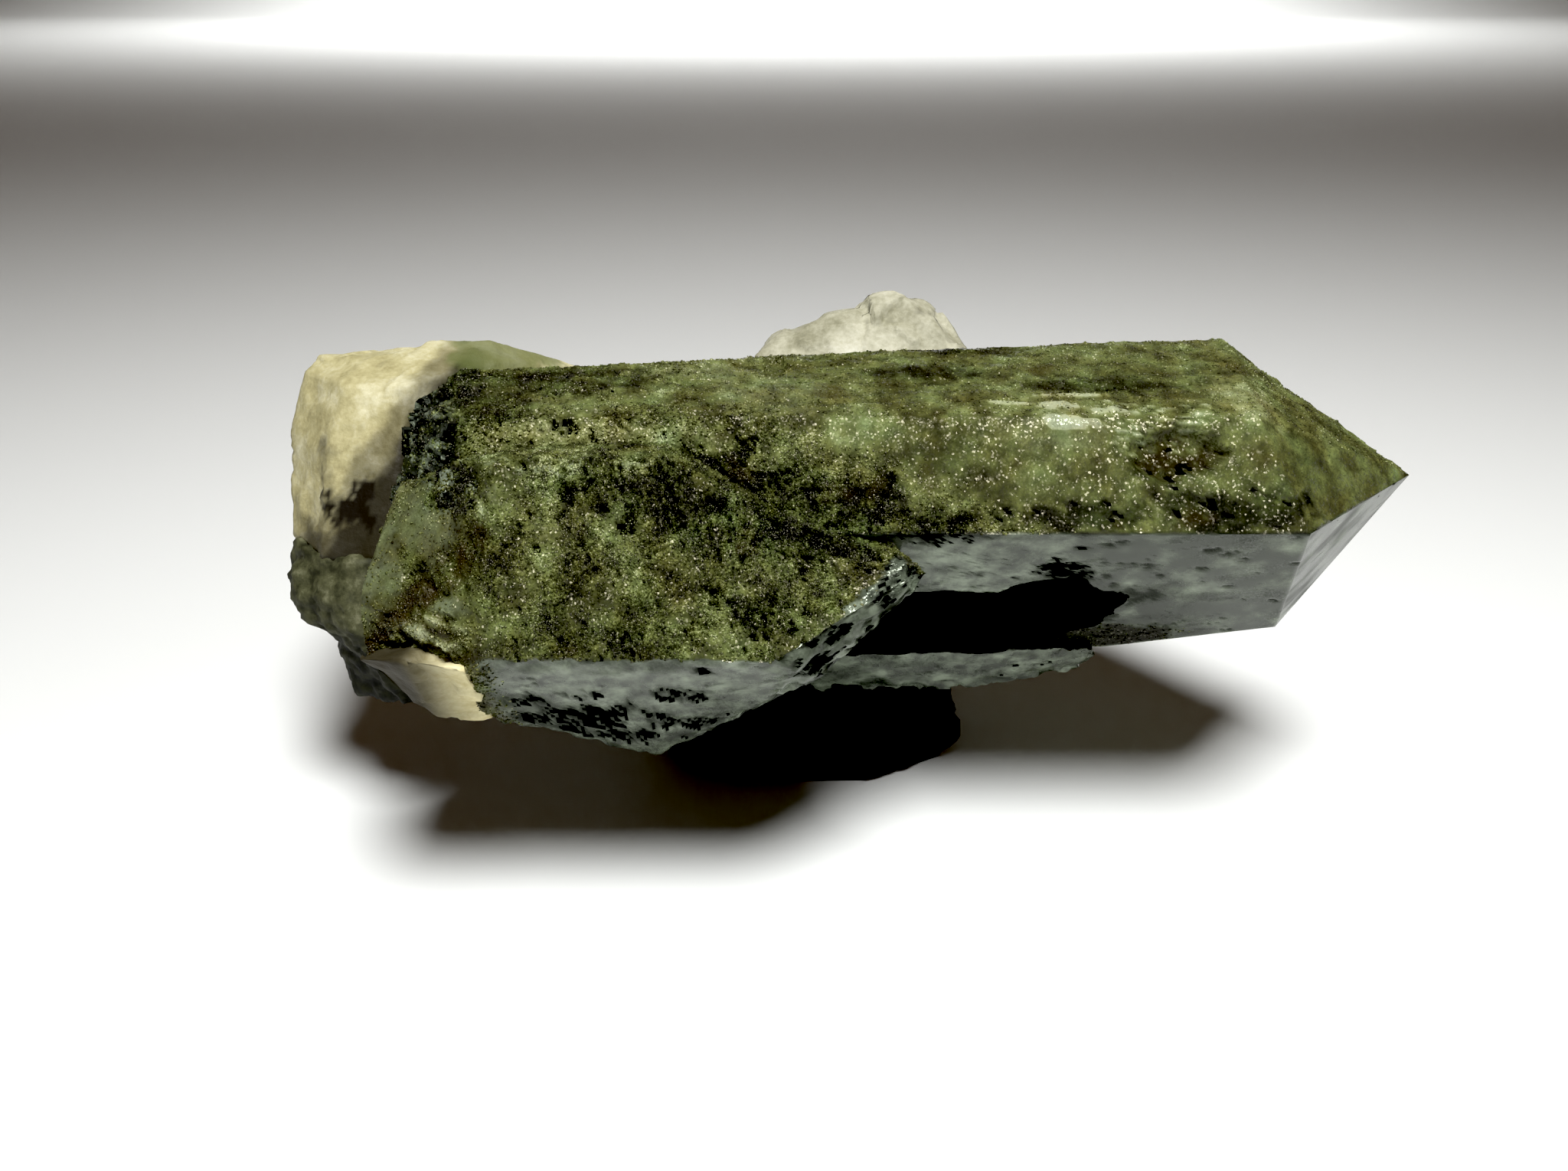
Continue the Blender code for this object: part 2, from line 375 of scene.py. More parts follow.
def skin_faces(rows: int, columns: int) -> tuple[Array, Array]:
    """The faces of a closed skin whose first and last rows are one point each.

    Args:
        rows: How many rows the grid has, its two end points included.
        columns: How many columns go round.

    Returns:
        The triangles round the two ends and the quads between them, as vertex numbers.
    """
    last = 1 + (rows - 2) * columns
    column = np.arange(columns)
    beside = (column + 1) % columns
    fan_start = np.stack([np.zeros(columns, int), 1 + beside, 1 + column], axis=-1)
    fan_end = np.stack([np.full(columns, last), last - columns + column, last - columns + beside], axis=-1)
    row = 1 + np.arange(rows - 3)[:, None] * columns
    quads = np.stack([row + column, row + beside, row + columns + beside, row + columns + column], axis=-1)
    return np.concatenate([fan_start, fan_end]), quads.reshape(-1, 4)


def signed_volume(points: Array, faces: Array) -> float:
    """Six times the volume under a set of faces: positive when they face outwards.

    Args:
        points: Positions, shape (n, 3).
        faces: Vertex numbers, one row for each face.

    Returns:
        The sum of the triple products of the corners of a fan of triangles in each face.
    """
    total = 0.0
    for corner in range(1, faces.shape[1] - 1):
        a, b, c = points[faces[:, 0]], points[faces[:, corner]], points[faces[:, corner + 1]]
        total += float(np.sum(a * np.cross(b, c)))
    return total


def write_mesh(name: str, points: Array, faces: Sequence[Array], fields: Fields) -> bpy.types.Mesh:
    """Writes points and faces into a new mesh, with one number per face corner for each field.

    Args:
        name: The mesh's name.
        points: Positions in millimetres, shape (n, 3).
        faces: Arrays of faces as vertex numbers, each array with its own number of corners.
        fields: Named numbers for each point, shape (n,).

    Returns:
        The mesh, in metres, with its faces turned outwards.
    """
    if sum(signed_volume(points, array) for array in faces) < 0:
        faces = [array[:, ::-1] for array in faces]
    loops = np.concatenate([array.reshape(-1) for array in faces])
    sizes = np.concatenate([np.full(len(array), array.shape[1]) for array in faces])
    mesh = bpy.data.meshes.new(name)
    mesh.vertices.add(len(points))
    mesh.vertices.foreach_set("co", (points * MM).astype(np.float32).ravel())
    mesh.loops.add(len(loops))
    mesh.loops.foreach_set("vertex_index", loops.astype(np.int32))
    mesh.polygons.add(len(sizes))
    mesh.polygons.foreach_set("loop_start", (np.cumsum(sizes) - sizes).astype(np.int32))
    mesh.update(calc_edges=True)
    for field_name, values in fields.items():
        layer = mesh.attributes.new(field_name, "FLOAT", "CORNER")
        layer.data.foreach_set("value", values[loops].astype(np.float32))
    return mesh


def even_fields(points: Array, **levels: float) -> Fields:
    """Fields that are the same at every point of a grid."""
    return {name: np.full(points.shape[:2], level) for name, level in levels.items()}


def skin_mesh(name: str, skin: Skin, fields: Fields) -> bpy.types.Mesh:
    """Writes a skin as a closed mesh.

    Args:
        name: The mesh's name.
        skin: The skin.
        fields: Named numbers for each grid point, shape (rows, columns).

    Returns:
        The mesh, with one vertex at each end of the skin.
    """
    rows, columns = skin.points.shape[:2]
    flat = {
        key: np.concatenate([[value[0].mean()], value[1:-1].ravel(), [value[-1].mean()]])
        for key, value in fields.items()
    }
    points = np.concatenate([skin.points[:1, 0], skin.points[1:-1].reshape(-1, 3), skin.points[-1:, 0]])
    return write_mesh(name, points, skin_faces(rows, columns), flat)


def add_object(name: str, mesh: bpy.types.Mesh) -> bpy.types.Object:
    """Puts a mesh into the scene as an object at the origin.

    Args:
        name: The object's name.
        mesh: Its mesh.

    Returns:
        The object.
    """
    obj = bpy.data.objects.new(name, mesh)
    bpy.context.scene.collection.objects.link(obj)
    return obj


class Joining(Enum):
    """How a second solid changes the first."""

    UNION = "UNION"
    DIFFERENCE = "DIFFERENCE"


def combined(
    name: str, base: bpy.types.Mesh, changes: Sequence[tuple[bpy.types.Mesh, Joining]]
) -> bpy.types.Mesh:
    """Joins solids to a base, or cuts them from it, and returns the finished mesh.

    Args:
        name: The finished mesh's name.
        base: The closed mesh to start from.
        changes: Closed meshes, each with what it does to the base.

    Returns:
        A new mesh.
    """
    piece = add_object(name + "_base", base)
    helpers = [piece]
    for mesh, joining in changes:
        helper = add_object(mesh.name, mesh)
        modifier = piece.modifiers.new(mesh.name, "BOOLEAN")
        modifier.object = helper
        modifier.operation = joining.value
        modifier.solver = "MANIFOLD"
        helpers.append(helper)
    graph = bpy.context.evaluated_depsgraph_get()
    result = bpy.data.meshes.new_from_object(piece.evaluated_get(graph))
    result.name = name
    for helper in helpers:
        bpy.data.objects.remove(helper, do_unlink=True)
    return result


def read_field(mesh: bpy.types.Mesh, name: str) -> Array:
    """Reads one field of a mesh.

    Args:
        mesh: The mesh.
        name: The field's name.

    Returns:
        The number at each face corner.
    """
    layer = mesh.attributes[name]
    values = np.empty(len(layer.data), np.float32)
    layer.data.foreach_get("value", values)
    return values


def add_finish_where(
    obj: bpy.types.Object, material: bpy.types.Material, name: str, limit: float
) -> None:
    """Gives another material to the faces where a field is over a limit.

    Args:
        obj: The object.
        material: The material to add.
        name: The field's name.
        limit: The value over which a face takes the material.
    """
    mesh = obj.data
    mesh.materials.append(material)
    starts = np.empty(len(mesh.polygons), np.int32)
    mesh.polygons.foreach_get("loop_start", starts)
    chosen = np.empty(len(mesh.polygons), np.int32)
    mesh.polygons.foreach_get("material_index", chosen)
    chosen[read_field(mesh, name)[starts] > limit] = len(mesh.materials) - 1
    mesh.polygons.foreach_set("material_index", chosen)
    mesh.update()


# Materials


def linear(colour: str) -> tuple[float, float, float, float]:
    """Turns an sRGB colour into linear light.

    Args:
        colour: The colour in hex, such as #586032.

    Returns:
        Red, green, blue and an alpha of 1.
    """
    parts = [int(colour[place : place + 2], 16) / 255 for place in (1, 3, 5)]
    red, green, blue = [
        part / 12.92 if part <= 0.04045 else ((part + 0.055) / 1.055) ** 2.4 for part in parts
    ]
    return red, green, blue, 1.0


def per_mm(size: float) -> float:
    """The texture scale whose pattern repeats about every size millimetres."""
    return 1 / (size * MM)


class Shading:
    """A material's node tree: a Principled surface, and one way to add a node to it."""

    def __init__(self, name: str) -> None:
        """Starts a material.

        Args:
            name: The real material's name.
        """
        self.material = bpy.data.materials.new(name)
        self.material.use_nodes = True
        self.tree = self.material.node_tree
        self.surface = self.tree.nodes["Principled BSDF"]
        self.place = self.node("ShaderNodeTexCoord").outputs["Object"]

    def node(
        self,
        kind: str,
        settings: dict | None = None,
        inputs: dict | None = None,
        ramp: Ramp = (),
    ) -> bpy.types.Node:
        """Adds a node with its settings and links.

        Args:
            kind: The node's type name.
            settings: Property names and values.
            inputs: Socket names or numbers, each with a value or another node's output.
            ramp: For a colour ramp, its stops as places from 0 to 1 and sRGB hex colours.

        Returns:
            The new node.
        """
        made = self.tree.nodes.new(kind)
        for key, value in (settings or {}).items():
            setattr(made, key, value)
        self.fill(made, inputs or {})
        if ramp:
            stops = made.color_ramp.elements
            while len(stops) < len(ramp):
                stops.new(0.5)
            for stop, (position, colour) in zip(stops, ramp):
                stop.position = position
                stop.color = linear(colour)
        return made

    def fill(self, node: bpy.types.Node, inputs: dict) -> None:
        """Sets or links a node's sockets.

        Args:
            node: The node.
            inputs: Socket names or numbers, each with a value or another node's output.
        """
        for key, value in inputs.items():
            if isinstance(value, bpy.types.NodeSocket):
                self.tree.links.new(value, node.inputs[key])
            else:
                node.inputs[key].default_value = value

    def field(self, name: str) -> bpy.types.NodeSocket:
        """The output that gives one of the mesh's own fields."""
        return self.node("ShaderNodeAttribute", {"attribute_name": name}).outputs["Fac"]


@dataclass(frozen=True)
class ChloriteColour:
    """The green of chlorite: soft clouds and tufts of it in quartz, and loose grains of many shades.

    Attributes:
        ramp: Shades from the darkest gaps between tufts to the palest dusty grains.
        stain: The brown of grains that iron has stained.
        cloud_mm: The width of the soft clouds.
        tuft_mm: The width of one tuft.
        grain_mm: The width of one grain in the crust. Real ones are down to 0.02 mm wide, and these
            are as coarse as they need to be to show.
        drift: How strongly clouds, tufts and grains each shift the shade.
        calm: The share of that shift which is left where there is no crust.
        hues: The hue, with 0.5 for no change, at the two ends of the clouds' noise.
        vivid: The saturation at the two ends of the tufts' noise.
        vivid_crust: What full crust adds to the saturation.
    """

    ramp: Ramp = (
        (0.0, "#040502"),
        (0.2, "#161A0B"),
        (0.45, "#3E4420"),
        (0.7, "#636A38"),
        (0.88, "#808757"),
        (1.0, "#A3A87C"),
    )
    stain: str = "#32280F"
    cloud_mm: float = 2.2
    tuft_mm: float = 0.9
    grain_mm: float = 0.16
    drift: Point = (1.1, 1.3, 0.36)
    calm: float = 0.62
    hues: tuple[float, float] = (0.428, 0.564)
    vivid: tuple[float, float] = (0.72, 1.04)
    vivid_crust: float = 0.05

    def output(self, shade: Shading) -> bpy.types.NodeSocket:
        """Adds the nodes for this colour.

        The shade is the field tone, plus each pattern's distance from its middle times its drift.

        Args:
            shade: The node tree. Its mesh has the fields tone, rust and crust.

        Returns:
            The colour output.
        """
        cloud = shade.node(
            "ShaderNodeTexNoise",
            inputs={"Vector": shade.place, "Scale": per_mm(self.cloud_mm), "Detail": 3.0, "Roughness": 0.5},
        )
        tuft = shade.node(
            "ShaderNodeTexNoise",
            inputs={"Vector": shade.place, "Scale": per_mm(self.tuft_mm), "Detail": 5.0, "Roughness": 0.62},
        )
        grain = shade.node(
            "ShaderNodeTexVoronoi", inputs={"Vector": shade.place, "Scale": per_mm(self.grain_mm)}
        )
        crust = shade.field("crust")
        grains = shade.node(
            "ShaderNodeMath", {"operation": "MULTIPLY"}, {0: grain.outputs["Color"], 1: crust}
        )
        middle = -0.5 * (self.drift[0] + self.drift[1])
        clouds = shade.node(
            "ShaderNodeMath",
            {"operation": "MULTIPLY_ADD"},
            {0: cloud.outputs["Fac"], 1: self.drift[0], 2: middle},
        )
        tufts = shade.node(
            "ShaderNodeMath",
            {"operation": "MULTIPLY_ADD"},
            {0: tuft.outputs["Fac"], 1: self.drift[1], 2: clouds.outputs[0]},
        )
        share = shade.node("ShaderNodeMapRange", inputs={"Value": crust, "To Min": self.calm, "To Max": 1.0})
        shifted = shade.node(
            "ShaderNodeMath",
            {"operation": "MULTIPLY_ADD"},
            {0: tufts.outputs[0], 1: share.outputs[0], 2: shade.field("tone")},
        )
        level = shade.node(
            "ShaderNodeMath",
            {"operation": "MULTIPLY_ADD"},
            {0: grains.outputs[0], 1: self.drift[2], 2: shifted.outputs[0]},
        )
        green = shade.node("ShaderNodeValToRGB", inputs={"Fac": level.outputs[0]}, ramp=self.ramp)
        hue = shade.node(
            "ShaderNodeMapRange",
            inputs={"Value": cloud.outputs["Fac"], "To Min": self.hues[0], "To Max": self.hues[1]},
        )
        vivid = shade.node(
            "ShaderNodeMapRange",
            inputs={"Value": tuft.outputs["Fac"], "To Min": self.vivid[0], "To Max": self.vivid[1]},
        )
        depth = shade.node(
            "ShaderNodeMath",
            {"operation": "MULTIPLY_ADD"},
            {0: crust, 1: self.vivid_crust, 2: vivid.outputs[0]},
        )
        drifted = shade.node(
            "ShaderNodeHueSaturation",
            inputs={"Hue": hue.outputs[0], "Saturation": depth.outputs[0], "Color": green.outputs[0]},
        )
        stained = shade.node(
            "ShaderNodeMix",
            {"data_type": "RGBA"},
            {0: shade.field("rust"), 6: drifted.outputs[0], 7: linear(self.stain)},
        )
        return stained.outputs[2]


@dataclass(frozen=True)
class ChloriteQuartz:
    """Quartz full of chlorite: a glassy host whose colour comes from the green grains in it.

    Where chlorite crusts the surface, many tiny crystal faces lean every way, so single ones flash
    white. Where a crystal face is bare it is smooth dark glass that mirrors what is in front of it.

    Attributes:
        name: The finish's name.
        colour: The chlorite's colour.
        glass: The colour of bare quartz with dark chlorite under it.
        haze: The colour of bare quartz that is cloudy, also painted onto the bare low faces as the pale
            floor's reflection.
        soot: The colour of black crust and deep gaps, also painted as shade into holes, the hollow and the
            foot.
        dull: The roughness of one tiny crystal face in the crust.
        polish: The roughness of a bare crystal face.
        facet_mm: The width of one tiny crystal face. Real ones are finer, and these are as coarse as
            they need to be to flash one by one.
        lean: How far the tiny faces lean, as the sideways part of a unit normal.
        mirror: How much it mirrors, next to a solid's 0.5.
        tint: The colour of what it mirrors.
        wisp_mm: The width of one wisp of cloud in bare quartz.
        matt: The roughness of black crust.
        ior: Quartz's index of refraction.
    """

    name: str = "chlorite_quartz"
    colour: ChloriteColour = ChloriteColour()
    glass: str = "#12170F"
    haze: str = "#808A78"
    soot: str = "#020302"
    dull: float = 0.38
    polish: float = 0.07
    facet_mm: float = 0.1
    lean: float = 0.8
    mirror: float = 0.47
    tint: str = "#EBF5DE"
    wisp_mm: float = 1.6
    matt: float = 0.9
    ior: float = 1.544

    def bare(self, shade: Shading) -> bpy.types.NodeSocket:
        """Adds the colour of a bare face: dark glass with wisps of cloud in it, lightened on the low faces
        by a painted reflection of the pale floor.

        Args:
            shade: The node tree. Its mesh has the field haze.

        Returns:
            The colour output.
        """
        wisps = shade.node(
            "ShaderNodeTexNoise",
            inputs={"Vector": shade.place, "Scale": per_mm(self.wisp_mm), "Detail": 7.0, "Roughness": 0.68},
        )
        wisp = shade.node(
            "ShaderNodeMapRange",
            inputs={"Value": wisps.outputs["Fac"], "From Min": 0.35, "From Max": 0.68, "To Max": 2.0},
        )
        # Cloud, and on the low faces a painted reflection of the pale floor, lighten the dark glass.
        cloudy = shade.node(
            "ShaderNodeMath", {"operation": "MULTIPLY"}, {0: shade.field("haze"), 1: wisp.outputs[0]}
        )
        colour = shade.node(
            "ShaderNodeMix",
            {"data_type": "RGBA"},
            {0: cloudy.outputs[0], 6: linear(self.glass), 7: linear(self.haze)},
        )
        return colour.outputs[2]

    def facets(self, shade: Shading, glaze: bpy.types.NodeSocket) -> bpy.types.NodeSocket:
        """Adds the normal of the tiny crystal faces.

        Each cell of the pattern has one random vector. It is added to the surface's normal, less of
        it where the surface is glazed, and the sum is made a unit vector again.

        Args:
            shade: The node tree.
            glaze: The field that is 1 on a bare face.

        Returns:
            The normal output.
        """
        cells = shade.node(
            "ShaderNodeTexVoronoi", inputs={"Vector": shade.place, "Scale": per_mm(self.facet_mm)}
        )
        centred = shade.node(
            "ShaderNodeVectorMath",
            {"operation": "SUBTRACT"},
            {0: cells.outputs["Color"], 1: (0.5, 0.5, 0.5)},
        )
        amount = shade.node(
            "ShaderNodeMapRange", inputs={"Value": glaze, "To Min": self.lean, "To Max": 0.0}
        )
        leaning = shade.node(
            "ShaderNodeVectorMath",
            {"operation": "SCALE"},
            {0: centred.outputs[0], "Scale": amount.outputs[0]},
        )
        surface = shade.node("ShaderNodeNewGeometry")
        total = shade.node(
            "ShaderNodeVectorMath",
            {"operation": "ADD"},
            {0: surface.outputs["Normal"], 1: leaning.outputs[0]},
        )
        facing = shade.node("ShaderNodeVectorMath", {"operation": "NORMALIZE"}, {0: total.outputs[0]})
        return facing.outputs[0]

    def material(self) -> bpy.types.Material:
        """Builds the material. Its mesh has the fields moss, crust, tone, rust, soot, haze and glaze.

        Returns:
            The material.
        """
        shade = Shading(self.name)
        green = shade.node(
            "ShaderNodeMix",
            {"data_type": "RGBA"},
            {0: shade.field("moss"), 6: self.bare(shade), 7: self.colour.output(shade)},
        )
        # Black chlorite, and painted shade in holes, the hollow and the foot, turn the colour to soot.
        soot = shade.field("soot")
        sooty = shade.node(
            "ShaderNodeMix", {"data_type": "RGBA"}, {0: soot, 6: green.outputs[2], 7: linear(self.soot)}
        )
        glaze = shade.field("glaze")
        polished = shade.node(
            "ShaderNodeMapRange",
            {"interpolation_type": "SMOOTHSTEP"},
            {"Value": glaze, "To Min": self.dull, "To Max": self.polish},
        )
        roughness = shade.node(
            "ShaderNodeMix", {"data_type": "FLOAT"}, {0: soot, 2: polished.outputs[0], 3: self.matt}
        )
        shade.fill(
            shade.surface,
            {
                "Base Color": sooty.outputs[2],
                "Roughness": roughness.outputs[0],
                "IOR": self.ior,
                "Specular IOR Level": self.mirror,
                "Specular Tint": linear(self.tint),
                "Normal": self.facets(shade, glaze),
            },
        )
        return shade.material


@dataclass(frozen=True)
class ChloriteFeltAndShade:
    """Black chlorite felted in holes and cracks: so fine and loose that it mirrors next to nothing.

    The same dull black is painted as shade at the bottom of the holes, in the hollow and on the foot.

    Attributes:
        gap: The colour between its fibres.
        fibre: The colour of its fibres.
        mat_mm: The width of one mat of fibres, which is far coarser than a fibre, so that it shows.
        mirror: How much it mirrors, next to a solid's 0.5.
    """

    gap: str = "#020302"
    fibre: str = "#0D110B"
    mat_mm: float = 0.5
    mirror: float = 0.08

    def material(self) -> bpy.types.Material:
        """Builds the material.

        Returns:
            The material.
        """
        shade = Shading("chlorite_felt_and_shade")
        matting = shade.node(
            "ShaderNodeTexNoise",
            inputs={"Vector": shade.place, "Scale": per_mm(self.mat_mm), "Detail": 6.0, "Roughness": 0.7},
        )
        colour = shade.node(
            "ShaderNodeMix",
            {"data_type": "RGBA"},
            {0: matting.outputs["Fac"], 6: linear(self.gap), 7: linear(self.fibre)},
        )
        shade.fill(
            shade.surface,
            {"Base Color": colour.outputs[2], "Roughness": 1.0, "Specular IOR Level": self.mirror},
        )
        return shade.material


@dataclass(frozen=True)
class ChloriteFlake:
    """Loose chlorite flakes. Weathered ones are dull, and fresh ones glint as a face turns to a light.

    Attributes:
        name: The finish's name.
        roughness: The roughness of one flake's face.
        mirror: How much it mirrors, next to a solid's 0.5.
        colour: The chlorite's colour.
        tint: The colour of what it mirrors.
    """

    name: str
    roughness: float
    mirror: float
    colour: ChloriteColour = ChloriteColour()
    tint: str = "#FFF8E0"

    def material(self) -> bpy.types.Material:
        """Builds the material. Its mesh has the fields tone, rust and crust.

        Returns:
            The material.
        """
        shade = Shading(self.name)
        shade.fill(
            shade.surface,
            {
                "Base Color": self.colour.output(shade),
                "Roughness": self.roughness,
                "Specular IOR Level": self.mirror,
                "Specular Tint": linear(self.tint),
            },
        )
        return shade.material


@dataclass(frozen=True)
class FeldsparFinish:
    """Feldspar: an opaque cream mineral, matt where weathered, stained brown and green in its cracks.

    Attributes:
        ramp: Shades from stained cracks to clean cleavage faces.
        stain: The brown of iron stain, which also paints the shadow and shade on the feldspar.
        green: The green of a dusting of chlorite.
        cloud_mm: The width of one cloudy patch.
        crumb_mm: The width of one weathered crumb.
        cloud: How far clouds shift the shade.
        crumb: How far crumbs shift the shade.
        relief_mm: How high crumbs stand.
        relief: How much of that height the bump shows.
        roughness: How dull the surface is.
        mirror: How much it mirrors, next to a solid's 0.5.
        ior: Feldspar's index of refraction.
    """

    ramp: Ramp = ((0.0, "#4A452A"), (0.35, "#857D56"), (0.65, "#A8A179"), (1.0, "#C8C4A6"))
    stain: str = "#130E06"
    green: str = "#565E34"
    cloud_mm: float = 2.2
    crumb_mm: float = 0.35
    cloud: float = 0.8
    crumb: float = 0.5
    relief_mm: float = 0.1
    relief: float = 0.6
    roughness: float = 0.6
    mirror: float = 0.2
    ior: float = 1.53

    def material(self) -> bpy.types.Material:
        """Builds the material. Its mesh has the fields tone, rust and moss.

        Returns:
            The material.
        """
        shade = Shading("feldspar")
        broad = shade.node(
            "ShaderNodeTexNoise",
            inputs={"Vector": shade.place, "Scale": per_mm(self.cloud_mm), "Detail": 6.0, "Roughness": 0.6},
        )
        spread = shade.node(
            "ShaderNodeMath",
            {"operation": "MULTIPLY_ADD"},
            {0: broad.outputs["Fac"], 1: self.cloud, 2: -0.5 * self.cloud},
        )
        fine = shade.node(
            "ShaderNodeTexNoise",
            inputs={"Vector": shade.place, "Scale": per_mm(self.crumb_mm), "Detail": 4.0, "Roughness": 0.6},
        )
        crumbs = shade.node(
            "ShaderNodeMath",
            {"operation": "MULTIPLY_ADD"},
            {0: fine.outputs["Fac"], 1: self.crumb, 2: -0.5 * self.crumb},
        )
        total = shade.node(
            "ShaderNodeMath", {"operation": "ADD"}, {0: spread.outputs[0], 1: crumbs.outputs[0]}
        )
        level = shade.node(
            "ShaderNodeMath", {"operation": "ADD"}, {0: total.outputs[0], 1: shade.field("tone")}
        )
        cream = shade.node("ShaderNodeValToRGB", inputs={"Fac": level.outputs[0]}, ramp=self.ramp)
        # Iron stain, and the shadow and shade painted with it, darken the cream.
        stained = shade.node(
            "ShaderNodeMix",
            {"data_type": "RGBA"},
            {0: shade.field("rust"), 6: cream.outputs[0], 7: linear(self.stain)},
        )
        bumps = shade.node(
            "ShaderNodeBump",
            inputs={"Strength": self.relief, "Distance": self.relief_mm * MM, "Height": fine.outputs["Fac"]},
        )
        mossy = shade.node(
            "ShaderNodeMix",
            {"data_type": "RGBA"},
            {0: shade.field("moss"), 6: stained.outputs[2], 7: linear(self.green)},
        )
        shade.fill(
            shade.surface,
            {
                "Base Color": mossy.outputs[2],
                "Roughness": self.roughness,
                "IOR": self.ior,
                "Specular IOR Level": self.mirror,
                "Normal": bumps.outputs[0],
            },
        )
        return shade.material


@dataclass(frozen=True)
class ChloriteSchist:
    """Chlorite schist: a soft grey-green rock of matted flakes, dull with a few dark crumbs.

    Attributes:
        ramp: Shades from dark crumbs to dusty grey-green.
        crumb_mm: The width of one crumb.
        spread: How far crumbs shift the shade.
        relief_mm: How high crumbs stand.
        relief: How much of that height the bump shows.
        roughness: How dull the surface is.
        mirror: How much it mirrors, next to a solid's 0.5.
        ior: Chlorite's index of refraction.
    """

    ramp: Ramp = ((0.0, "#0C0D07"), (0.4, "#2B2C1B"), (0.7, "#4B4C35"), (1.0, "#77775E"))
    crumb_mm: float = 0.8
    spread: float = 1.4
    relief_mm: float = 0.1
    relief: float = 0.7
    roughness: float = 0.7
    mirror: float = 0.2
    ior: float = 1.58

    def material(self) -> bpy.types.Material:
        """Builds the material. Its mesh has the field tone.

        Returns:
            The material.
        """
        shade = Shading("chlorite_schist")
        crumbs = shade.node(
            "ShaderNodeTexNoise",
            inputs={"Vector": shade.place, "Scale": per_mm(self.crumb_mm), "Detail": 6.0, "Roughness": 0.65},
        )
        spread = shade.node(
            "ShaderNodeMath",
            {"operation": "MULTIPLY_ADD"},
            {0: crumbs.outputs["Fac"], 1: self.spread, 2: -0.5 * self.spread},
        )
        level = shade.node(
            "ShaderNodeMath", {"operation": "ADD"}, {0: spread.outputs[0], 1: shade.field("tone")}
        )
        rock = shade.node("ShaderNodeValToRGB", inputs={"Fac": level.outputs[0]}, ramp=self.ramp)
        bumps = shade.node(
            "ShaderNodeBump",
            inputs={
                "Strength": self.relief,
                "Distance": self.relief_mm * MM,
                "Height": crumbs.outputs["Fac"],
            },
        )
        shade.fill(
            shade.surface,
            {
                "Base Color": rock.outputs[0],
                "Roughness": self.roughness,
                "IOR": self.ior,
                "Specular IOR Level": self.mirror,
                "Normal": bumps.outputs[0],
            },
        )
        return shade.material


@dataclass(frozen=True)
class PaperFinish:
    """Plain matt paper: a pale sheet with no pattern of its own.

    Attributes:
        colour: The paper's colour.
    """

    colour: str = "#E6E8E6"

    def material(self) -> bpy.types.Material:
        """Builds the material.

        Returns:
            The material.
        """
        shade = Shading("matt_paper")
        shade.fill(shade.surface, {"Base Color": linear(self.colour), "Roughness": 0.9})
        return shade.material


# The cluster


LENGTH, DEPTH, HEIGHT = 71.0, 33.0, 32.4
LEFT, RIGHT = -LENGTH / 2, LENGTH / 2
FRONT, BACK = -DEPTH / 2, DEPTH / 2


def finish_piece(
    obj: bpy.types.Object, material: bpy.types.Material, slot: Slot, *nodes: str
) -> bpy.types.Object:
    """Dresses a piece and ties it to the cluster's one body.

    Args:
        obj: The piece.
        material: Its material.
        slot: The material slot meant for it. It is not used.
        nodes: The solids that it stands for.

    Returns:
        The same piece.
    """
    obj.data.materials.clear()
    obj.data.materials.append(material)
    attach(obj, ROOT)
    if nodes:
        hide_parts(*nodes)
    log.info("%s: %d faces", obj.name, len(obj.data.polygons))
    return obj


